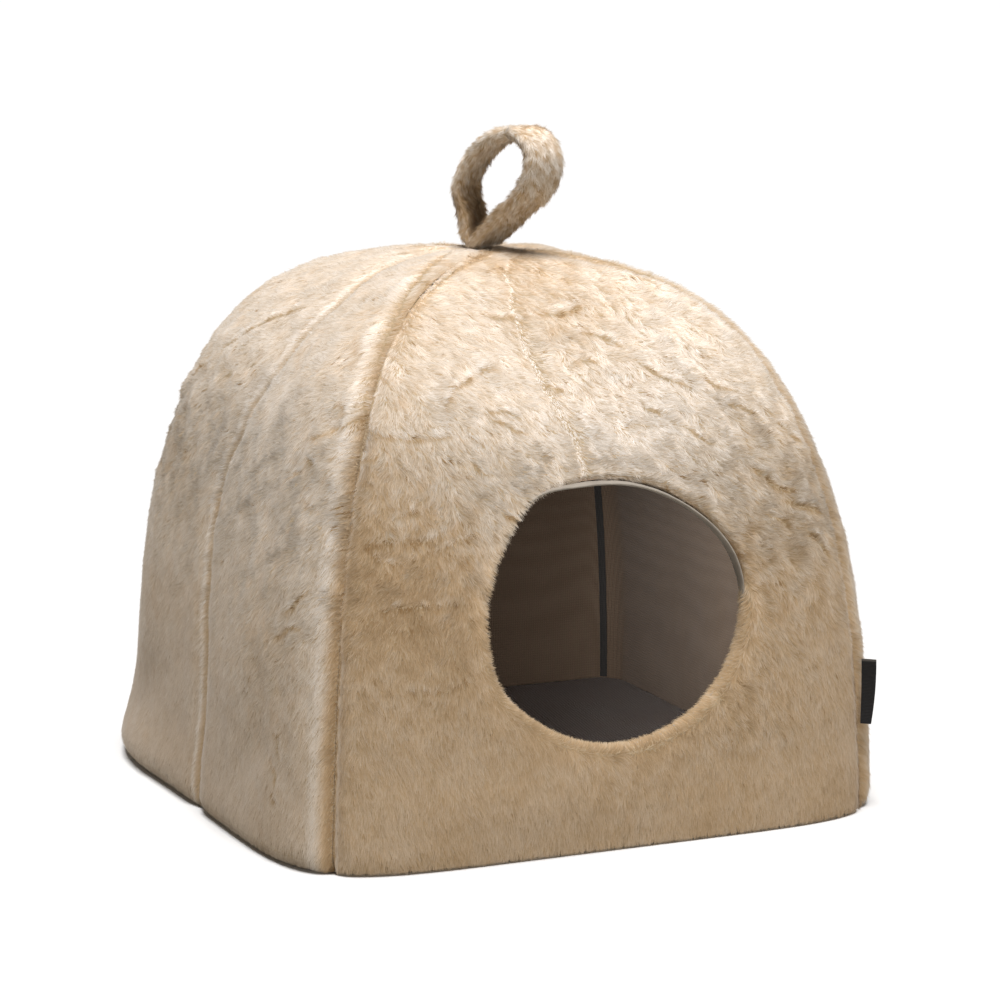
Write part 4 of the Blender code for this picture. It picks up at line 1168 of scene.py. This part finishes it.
# %% The loop's pile
def loop_pile(count):
    """Strands on the loop: down along the strip, more upright on its inner face and flat on top."""
    chance = np.random.default_rng(71)
    wrapped = np.concatenate([loop_core, loop_core[:1]])
    closed = np.concatenate([wrapped, wrapped[:, :1]], axis=1)
    along = np.gradient(closed, axis=0)
    normals = unit(np.cross(np.gradient(closed, axis=1), along))
    outer = (normals * (closed - closed.mean(axis=1, keepdims=True))).sum()
    normals = normals * np.sign(outer)
    row, column, part_up, part_side = scattered(closed, count, chance)
    at = (row, np.minimum(column, closed.shape[1] - 2), part_up, part_side)
    root, normal = between(closed, *at), unit(between(normals, *at))
    path_way = unit(between(along, *at))
    path_way = path_way * -np.sign(path_way[:, 2:] + 1e-6)
    middle = loop_core.mean(axis=(0, 1))
    inner = np.clip(-((root - middle) * normal).sum(axis=1) / 12, 0, 1)
    side_way = np.cross(normal, path_way)
    angle = 0.5 * waves(root, 16, 31) + 0.7 * waves(root, 6, 32) + 0.2 * chance.normal(size=count)
    flow = unit(path_way * np.cos(angle)[:, None] + side_way * np.sin(angle)[:, None])
    low = np.clip((385 - root[:, 2]) / 25, 0, 1)
    lift = 14 + 8 * inner + 6 * low + 12 * waves(root, 5, 33) + 3 * chance.normal(size=count)
    length = 4.2 * (1 + 0.2 * chance.normal(size=count))
    # The deeper gold on the inner face and towards the foot is partly the roots that show where strands
    # stand up, and partly painted shade.
    tone = -0.15 + 0.6 * inner + 0.9 * low + 0.9 * waves(root, 5, 34) + 0.7 * waves(root, 2.4, 35)
    keep = root[:, 2] > LOOP_SEAT - 1.5
    nap = (flow, np.clip(lift, 6, 60), np.clip(length, 2, 6), np.clip(tone, -1, 1.8), np.full(count, 1.2))
    nap = [values[keep] for values in nap]
    print("loop strands:", keep.sum(), "area, cm2:", round(area_heap(closed)[0][-1] / 100))
    return strands("loop_pile", root[keep], normal[keep], normal[keep], nap, chance, wide=0.55)


fluff = loop_pile(LOOP_STRANDS)
fluff.data.materials.append(PILE)
fluff.visible_shadow = False

# %% [markdown]
# ## The edging of the opening
#
# A soft binding covers the raw edges of plush and lining. It shows only along the top and the upper
# right, where the nap leans away. It is a band with round edges carried round the opening, and it
# puckers a little, because a straight binding has to follow a curve.

# %% Lining surfaces
LINING_OUT, LINING_IN = (173.55, 310.55), (171.55, 308.55)
LINING_FOOT, INNER_CORNER = 7.6, 20.0


def lining_point(side, across, up, layer):
    """A point of the lining's outer or inner face: a square with round corners at every level."""
    half, total = layer
    share = np.sin(np.asarray(up) * math.pi / 2)
    width = half_width(share, half, hem=0)
    ratio = np.abs(across) * seam_ratio(side)
    radius = INNER_CORNER * width / half
    straight = width - radius
    along, scale = straight * (1 + ratio), 1 + ratio**2
    arc = (along + np.sqrt(np.maximum(along**2 - scale * (2 * straight**2 - radius**2), 0))) / scale
    outwards = np.where(ratio * width <= straight, width, arc)
    return turned(side, np.sign(across) * ratio * outwards, outwards, share * total)


def lining_front_y(height, layer):
    """The y of the lining's front face at a height."""
    half, total = layer
    return -half_width(height / total, half, hem=0)


# %% Edging band
def edging_points(count=24, steps=240):
    """The band: a rounded section, as deep as the rim, carried round the opening's edge."""
    angle = np.linspace(0, 2 * math.pi, steps, endpoint=False)
    across, height = opening_curve(angle, 1.1)
    hidden = 1 - over_edging(angle)
    pucker = 0.25 * np.sin(angle * 61) + 0.25 * np.sin(angle * 23 + 1)
    front = -front_depth(across, height) + 2.0 + 5.0 * hidden + 0.8 * pucker
    rear = 0.34 * lining_front_y(height, LINING_IN) + 0.66 * (-front_depth(across, height) + 2.75)
    depth = (rear - front) / 2
    section = strip_section(1.0, 1.1, count)
    radial = section[None, :, 1] * (1 + 0.25 * pucker[:, None]) + 2.4 * hidden[:, None]
    y = ((front + rear) / 2)[:, None] + section[None, :, 0] * depth[:, None]
    x = across[:, None] + np.cos(angle)[:, None] * radial
    z = height[:, None] + np.sin(angle)[:, None] * radial
    return np.stack([x, y, z], axis=-1)


def binding_material():
    """Brushed polyester binding: pale warm grey, matt, with a knit of about 1 mm as a soft bump."""
    made, tree, shader = new_material("brushed_polyester_binding", 0.8, sheen=0.2, specular=0.2)
    where = node(tree, "TexCoord", output="Object")
    grain = node(tree, "TexNoise", {"Vector": where, "Scale": 900.0, "Detail": 2.0}, "Fac")
    broad = node(tree, "TexNoise", {"Vector": where, "Scale": 60.0, "Detail": 2.0}, "Fac")
    share = node(tree, "MapRange", {0: broad, 1: 0.3, 2: 0.7})
    colour = node(tree, "Mix", {0: share, 6: linear("#A39A8F"), 7: linear("#B7AEA2")}, 2, data_type="RGBA")
    tree.links.new(colour, shader.inputs["Base Color"])
    bump = node(tree, "Bump", {"Height": grain, "Strength": 0.5, "Distance": 0.0005})
    tree.links.new(bump, shader.inputs["Normal"])
    return made


band = edging_points()
edging = closed_piece("edging_band", band.reshape(-1, 3), ring_faces(*band.shape[:2]))
edging.data.materials.append(binding_material())
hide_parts("opening_edging")

# %% [markdown]
# ## The lining and the floor mat
#
# The inside is a plain woven lining, dark brown, that hangs a little loose between its corners.
# Each wall of it is a thin shell: the outer face lies against the padding, and the inner face has
# soft folds. The floor is a padded mat of the same cloth. A plain weave is two sets of threads, so
# its material crosses two stripes.

# %% Lining cloth
def bands(spacing_mm):
    """The Scale that gives a Wave Texture stripes this far apart: its wave is sin(20 x scale x place)."""
    return 2 * math.pi / (20 * spacing_mm * MM)


def weave_material(name, dark, pale, thread_mm, turn=0.0):
    """Plain woven polyester: two crossing sets of threads, drawn coarser than life so that they show."""
    made, tree, shader = new_material(name, 0.9, sheen=0.15, specular=0.2)
    where = node(tree, "TexCoord", output="Object")
    where = node(tree, "Mapping", {"Vector": where, "Rotation": (0.0, 0.0, math.radians(turn))})
    threads = [node(tree, "TexWave", {"Vector": where, "Scale": bands(thread_mm), "Distortion": 0.4}, "Fac",
                    bands_direction=way) for way in "XYZ"]
    crossed = node(tree, "Math", {0: threads[0], 1: threads[1]}, operation="ADD")
    crossed = node(tree, "Math", {0: crossed, 1: threads[2]}, operation="ADD")
    cloud = node(tree, "TexNoise", {"Vector": where, "Scale": 22.0, "Detail": 3.0}, "Fac")
    blend = node(tree, "Math", {0: crossed, 1: cloud}, operation="MULTIPLY")
    share = node(tree, "MapRange", {0: blend, 1: 0.3, 2: 1.3})
    colour = node(tree, "Mix", {0: share, 6: linear(dark), 7: linear(pale)}, 2, data_type="RGBA")
    tree.links.new(colour, shader.inputs["Base Color"])
    bump = node(tree, "Bump", {"Height": crossed, "Strength": 0.4, "Distance": 0.0004})
    tree.links.new(bump, shader.inputs["Normal"])
    return made


LINING_CLOTH = weave_material("woven_polyester_lining", "#73604F", "#7E6B5A", 1.7)
MAT_CLOTH = weave_material("woven_mat_cloth", "#5B4739", "#644F41", 2.1, turn=8)


def lining_wall(side, steps=60, rows=54):
    """One wall of the lining: outer face on the padding, inner face with folds up to 1.5 mm deep."""
    ups = np.linspace(float(up_at(LINING_FOOT, LINING_OUT[1])), UP_CROWN, rows)[:, None]
    trim = 1 - PIECE_GAP / np.maximum(half_width(np.sin(ups * math.pi / 2), LINING_OUT[0], 0), CROWN_RADIUS)
    across = np.linspace(-1, 1, steps)[None] * trim
    ups = ups + 0 * across
    outer = lining_point(side, across, ups, LINING_OUT)
    inner = lining_point(side, across, ups, LINING_IN)
    away = unit(inner - outer)
    loose = np.clip((1 - np.abs(across)) * 6, 0, 1) * np.clip((1 - ups / UP_CROWN) * 6, 0, 1)
    fold = 0.75 + 0.5 * waves(inner * (1, 1, 0.45), 52, 41) + 0.25 * waves(inner, 20, 42)
    inner = inner + away * (1.5 * np.clip(fold, 0, 2) / 2 * loose)[..., None] * 1.4
    return cloth_shell("lining_cloth_" + side, outer, inner)


def lining_front():
    """The lining of the front wall: rings from the opening out to the room's four edges."""
    edge_across, edge_up = front_outline(40, 56, 6)
    low = float(up_at(LINING_FOOT, LINING_OUT[1]))
    edge_up = low + (UP_CROWN - low) * edge_up / UP_CROWN
    edge = lining_point("front", edge_across, edge_up, LINING_IN)
    angle = np.arctan2(edge[:, 2] - OPENING_MIDDLE[1], edge[:, 0] - OPENING_MIDDLE[0])
    hole = np.stack(opening_curve(angle, 2.6), axis=-1)
    ring = np.linspace(0, 1, 26)[:, None]
    x = hole[:, 0] + (edge[:, 0] - hole[:, 0]) * ring
    z = hole[:, 1] + (edge[:, 2] - hole[:, 1]) * ring
    near = 0.66 * np.exp(-((outside_opening(x, z) / 30) ** 2)) * (z < 280)
    layers = []
    for layer, behind in ((LINING_OUT, 0.75), (LINING_IN, 2.75)):
        y = lining_front_y(z, layer)
        corner = lining_point("front", edge_across, edge_up, layer)[:, 1]
        y = y + (corner - y) * ring**12
        room = np.minimum(-front_depth(np.clip(x, -150, 150), np.clip(z, 0, 280)) + behind - y, 0)
        layers.append(np.stack([x, y + room * near, z], axis=-1))
    return cloth_shell("lining_cloth_front", *layers, ring=True)


linings = {side: lining_wall(side) for side in ("left", "right", "rear")}
linings["front"] = lining_front()
for side, piece in linings.items():
    piece.data.materials.append(LINING_CLOTH)
    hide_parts("lining_" + side)
print("linings:", sorted(linings))

inside = bpy.data.collections.new("inside")
bpy.context.scene.collection.children.link(inside)
INSIDE_AIM, INSIDE_SIZE = (0.15, -0.03, 0.12), 0.22
for name, place, power in (("light_on_back", (-0.26, -0.62, 0.24), 2.8),
                           ("light_on_right", (-0.42, -0.56, 0.24), 4.0)):
    glow = softbox(name, place, INSIDE_AIM, INSIDE_SIZE, power)
    glow.light_linking.receiver_collection = inside
for piece in linings.values():
    inside.objects.link(piece)


# %% Seam tapes
TAPE_LAYER, TAPE_FOOT, TAPE_HALF_WIDE, TAPE_HALF_THICK, TAPE_PROUD = (171.25, 308.25), 9.0, 2.5, 0.8, 2.1


def tape_points(side, edge, rows=80, count=14):
    """A strip with round edges carried up one inner corner, from the floor to just below the crown."""
    ups = np.linspace(float(up_at(TAPE_FOOT, TAPE_LAYER[1])), UP_CROWN * 0.985, rows)
    spot = lining_point(side, edge + 0 * ups, ups, TAPE_LAYER)
    middle_out = unit(spot * (1, 1, 0))
    sideways = np.stack([-middle_out[:, 1], middle_out[:, 0], 0 * ups], axis=-1)
    climb = unit(np.gradient(spot, axis=0))
    inwards = np.cross(sideways, climb)
    inwards *= -np.sign((inwards * middle_out).sum(axis=1, keepdims=True))
    half = TAPE_HALF_WIDE * np.clip(np.hypot(spot[:, 0], spot[:, 1]) / 60, 0.3, 1)[:, None]
    section = strip_section(1.0, 0.9, count)
    ripple = 0.15 * np.sin(ups * 160)[:, None]
    thick = TAPE_PROUD + ripple + section[None, :, 1] * TAPE_HALF_THICK
    wide = sideways[:, None] * (section[None, :, :1] * half[:, None])
    return spot[:, None] + (wide + inwards[:, None] * thick[..., None])


def capped_faces(rows, columns):
    """Quads round a tube, with both ends closed by the last and first rows drawn to quads across them."""
    sides = grid_faces(rows, columns, ring=True)
    half = columns // 2
    low = np.arange(half - 1)
    cap = np.stack([low, low + 1, columns - 2 - low, columns - 1 - low], axis=1)
    return np.concatenate([sides, cap, cap[:, ::-1] + (rows - 1) * columns])


TAPE_CLOTH = weave_material("woven_seam_tape", "#3B3937", "#454240", 1.5)
seam_tapes = []
CORNERS = {"front_left": ("front", -1), "front_right": ("front", 1),
           "rear_left": ("rear", 1), "rear_right": ("rear", -1)}
for corner, (side, edge) in CORNERS.items():
    points = tape_points(side, edge)
    piece = closed_piece("seam_tape_" + corner, points.reshape(-1, 3), capped_faces(*points.shape[:2]))
    piece.data.materials.append(TAPE_CLOTH)
    inside.objects.link(piece)
    seam_tapes.append(piece)
    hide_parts("tape_" + corner)


# %% Floor mat
def floor_mat(half=173.7, corner=25.0, thick=7.6, steps=72):
    """A padded square with round corners: the top crowns a little and rounds off at its edge."""
    line = np.sin(np.linspace(-1, 1, steps) * math.pi / 2 * 0.96) / math.sin(math.pi / 2 * 0.96) * half
    x, y = np.meshgrid(line, line)
    over_x, over_y = np.maximum(np.abs(x) - half + corner, 0), np.maximum(np.abs(y) - half + corner, 0)
    scale = np.maximum(over_x, over_y) / np.maximum(np.hypot(over_x, over_y), 1e-9)
    scale = np.where(np.hypot(over_x, over_y) > 0, scale, 1)
    x = np.sign(x) * (np.abs(x) - over_x + over_x * scale)
    y = np.sign(y) * (np.abs(y) - over_y + over_y * scale)
    edge = half - np.maximum(np.abs(x), np.abs(y))
    flat = np.stack([x, y, 0 * x], axis=-1)
    top = thick - 1.0 * np.exp(-edge / 3) + 0.35 * waves(flat, 70, 51) * (1 - np.exp(-edge / 10))
    flat = flat.reshape(-1, 3)
    points = np.concatenate([flat + (0, 0, 1) * top.reshape(-1, 1), flat + (0, 0, 0.2)])
    piece = closed_piece("floor_mat", points, shell_faces(steps, steps))
    piece.data.materials.append(MAT_CLOTH)
    return piece


mat = floor_mat()
inside.objects.link(mat)
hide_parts("floor_panel")

# %% [markdown]
# ## The side label
#
# A woven ribbon, folded once, with both ends sewn into the front right corner seam. It is bare. Its
# path is a narrow hairpin, the cloth is given its thickness to each side of the path, and the lower
# corner hangs in a bit.

# %% Label
LABEL_LOW, LABEL_HIGH, LABEL_PROUD, LABEL_SLANT = 53.5, 93.5, 9.0, 2.5
RIBBON_HALF_THICK, RIBBON_HALF_GAP, RIB_SPACING = 0.2, 0.35, 0.9


def label_points(offset, rows=24):
    """The folded ribbon: out from the seam, round a small fold and back, moved to one side by `offset`."""
    heights = np.linspace(LABEL_LOW, LABEL_HIGH, rows)
    outwards, sideways = np.array([1, -1, 0]) / math.sqrt(2), np.array([1, 1, 0]) / math.sqrt(2)
    seam = wall_point("front", 1.0 + 0 * heights, up_at(heights))
    start = (seam @ outwards).max() + 0.3
    slant = LABEL_SLANT * (1 - (heights - LABEL_LOW) / (LABEL_HIGH - LABEL_LOW)) ** 2
    reach = (LABEL_PROUD - slant - 0.5)[:, None]
    turn = np.radians(np.linspace(90, -90, 9))
    part = np.linspace(0, 1, 8)[:-1]
    gap = RIBBON_HALF_GAP + offset
    fold = reach + gap * np.cos(turn)[None]
    out = np.concatenate([part[None] * reach, fold, part[::-1][None] * reach], axis=1)
    side = np.concatenate([gap + 0 * part, gap * np.sin(turn), -gap + 0 * part])
    bend = 1.0 * np.sin(np.linspace(0, math.pi, rows))[:, None] + 0.5 * np.sin(out / 9 * 2.2)
    middle = outwards * start + sideways * (seam @ sideways).mean()
    points = middle + out[..., None] * outwards + (side[None] + bend)[..., None] * sideways
    points[..., 2] = heights[:, None]
    return points


def label_material():
    """Woven damask ribbon: black, a little shiny, with ribs 0.9 mm apart and a greyer cut edge."""
    made, tree, shader = new_material("black_woven_ribbon", 0.6, sheen=0.1, specular=0.4)
    where = node(tree, "TexCoord", output="Object")
    ribs = node(tree, "TexWave", {"Vector": where, "Scale": bands(RIB_SPACING)}, "Fac", bands_direction="Z")
    height = node(tree, "SeparateXYZ", {0: where}, "Z")
    cut = node(tree, "MapRange", {0: height, 1: (LABEL_HIGH - 1.6) * MM, 2: (LABEL_HIGH - 0.6) * MM})
    woven = node(tree, "Mix", {0: ribs, 6: linear("#141417"), 7: linear("#26262A")}, 2, data_type="RGBA")
    colour = node(tree, "Mix", {0: cut, 6: woven, 7: linear("#6E6C6A")}, 2, data_type="RGBA")
    tree.links.new(colour, shader.inputs["Base Color"])
    bump = node(tree, "Bump", {"Height": ribs, "Strength": 0.5, "Distance": 0.0003})
    tree.links.new(bump, shader.inputs["Normal"])
    return made


label_faces = [label_points(offset) for offset in (RIBBON_HALF_THICK, -RIBBON_HALF_THICK)]
label = cloth_shell("label_ribbon", *label_faces)
label.data.materials.append(label_material())
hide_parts("side_label")

# %% [markdown]
# ## What is cloth
#
# Every cloth's size as it was cut is printed with its area: stretched over padding, its area stays
# about the cut's own. The area is half the closed shell's, because a shell has two faces.

def shell_area(piece):
    """Half the area of a closed shell, in square metres."""
    mesh = piece.data
    areas = np.empty(len(mesh.polygons), np.float32)
    mesh.polygons.foreach_get("area", areas)
    return float(areas.sum()) / 2


def declare(piece, flat):
    """Prints a sheet's cut width and length, given in metres, and its area, capped at the cut's."""
    area = min(shell_area(piece), flat[0] * flat[1])
    print(piece.name, "cut, mm:", [round(1000 * size) for size in flat], "area, m2:", round(area, 4))


for cad_node, piece in cloths.items():
    cut = (0.38, 0.51) if cad_node == "front_panel" else (0.23, 0.50)
    declare(piece, cut)
for side, piece in linings.items():
    declare(piece, (0.37 if side in ("left", "right") else 0.35, 0.46))
declare(label, (0.022, 0.04))
declare(edging, (0.50, 0.024))
for piece in seam_tapes:
    declare(piece, (0.012, 0.42))
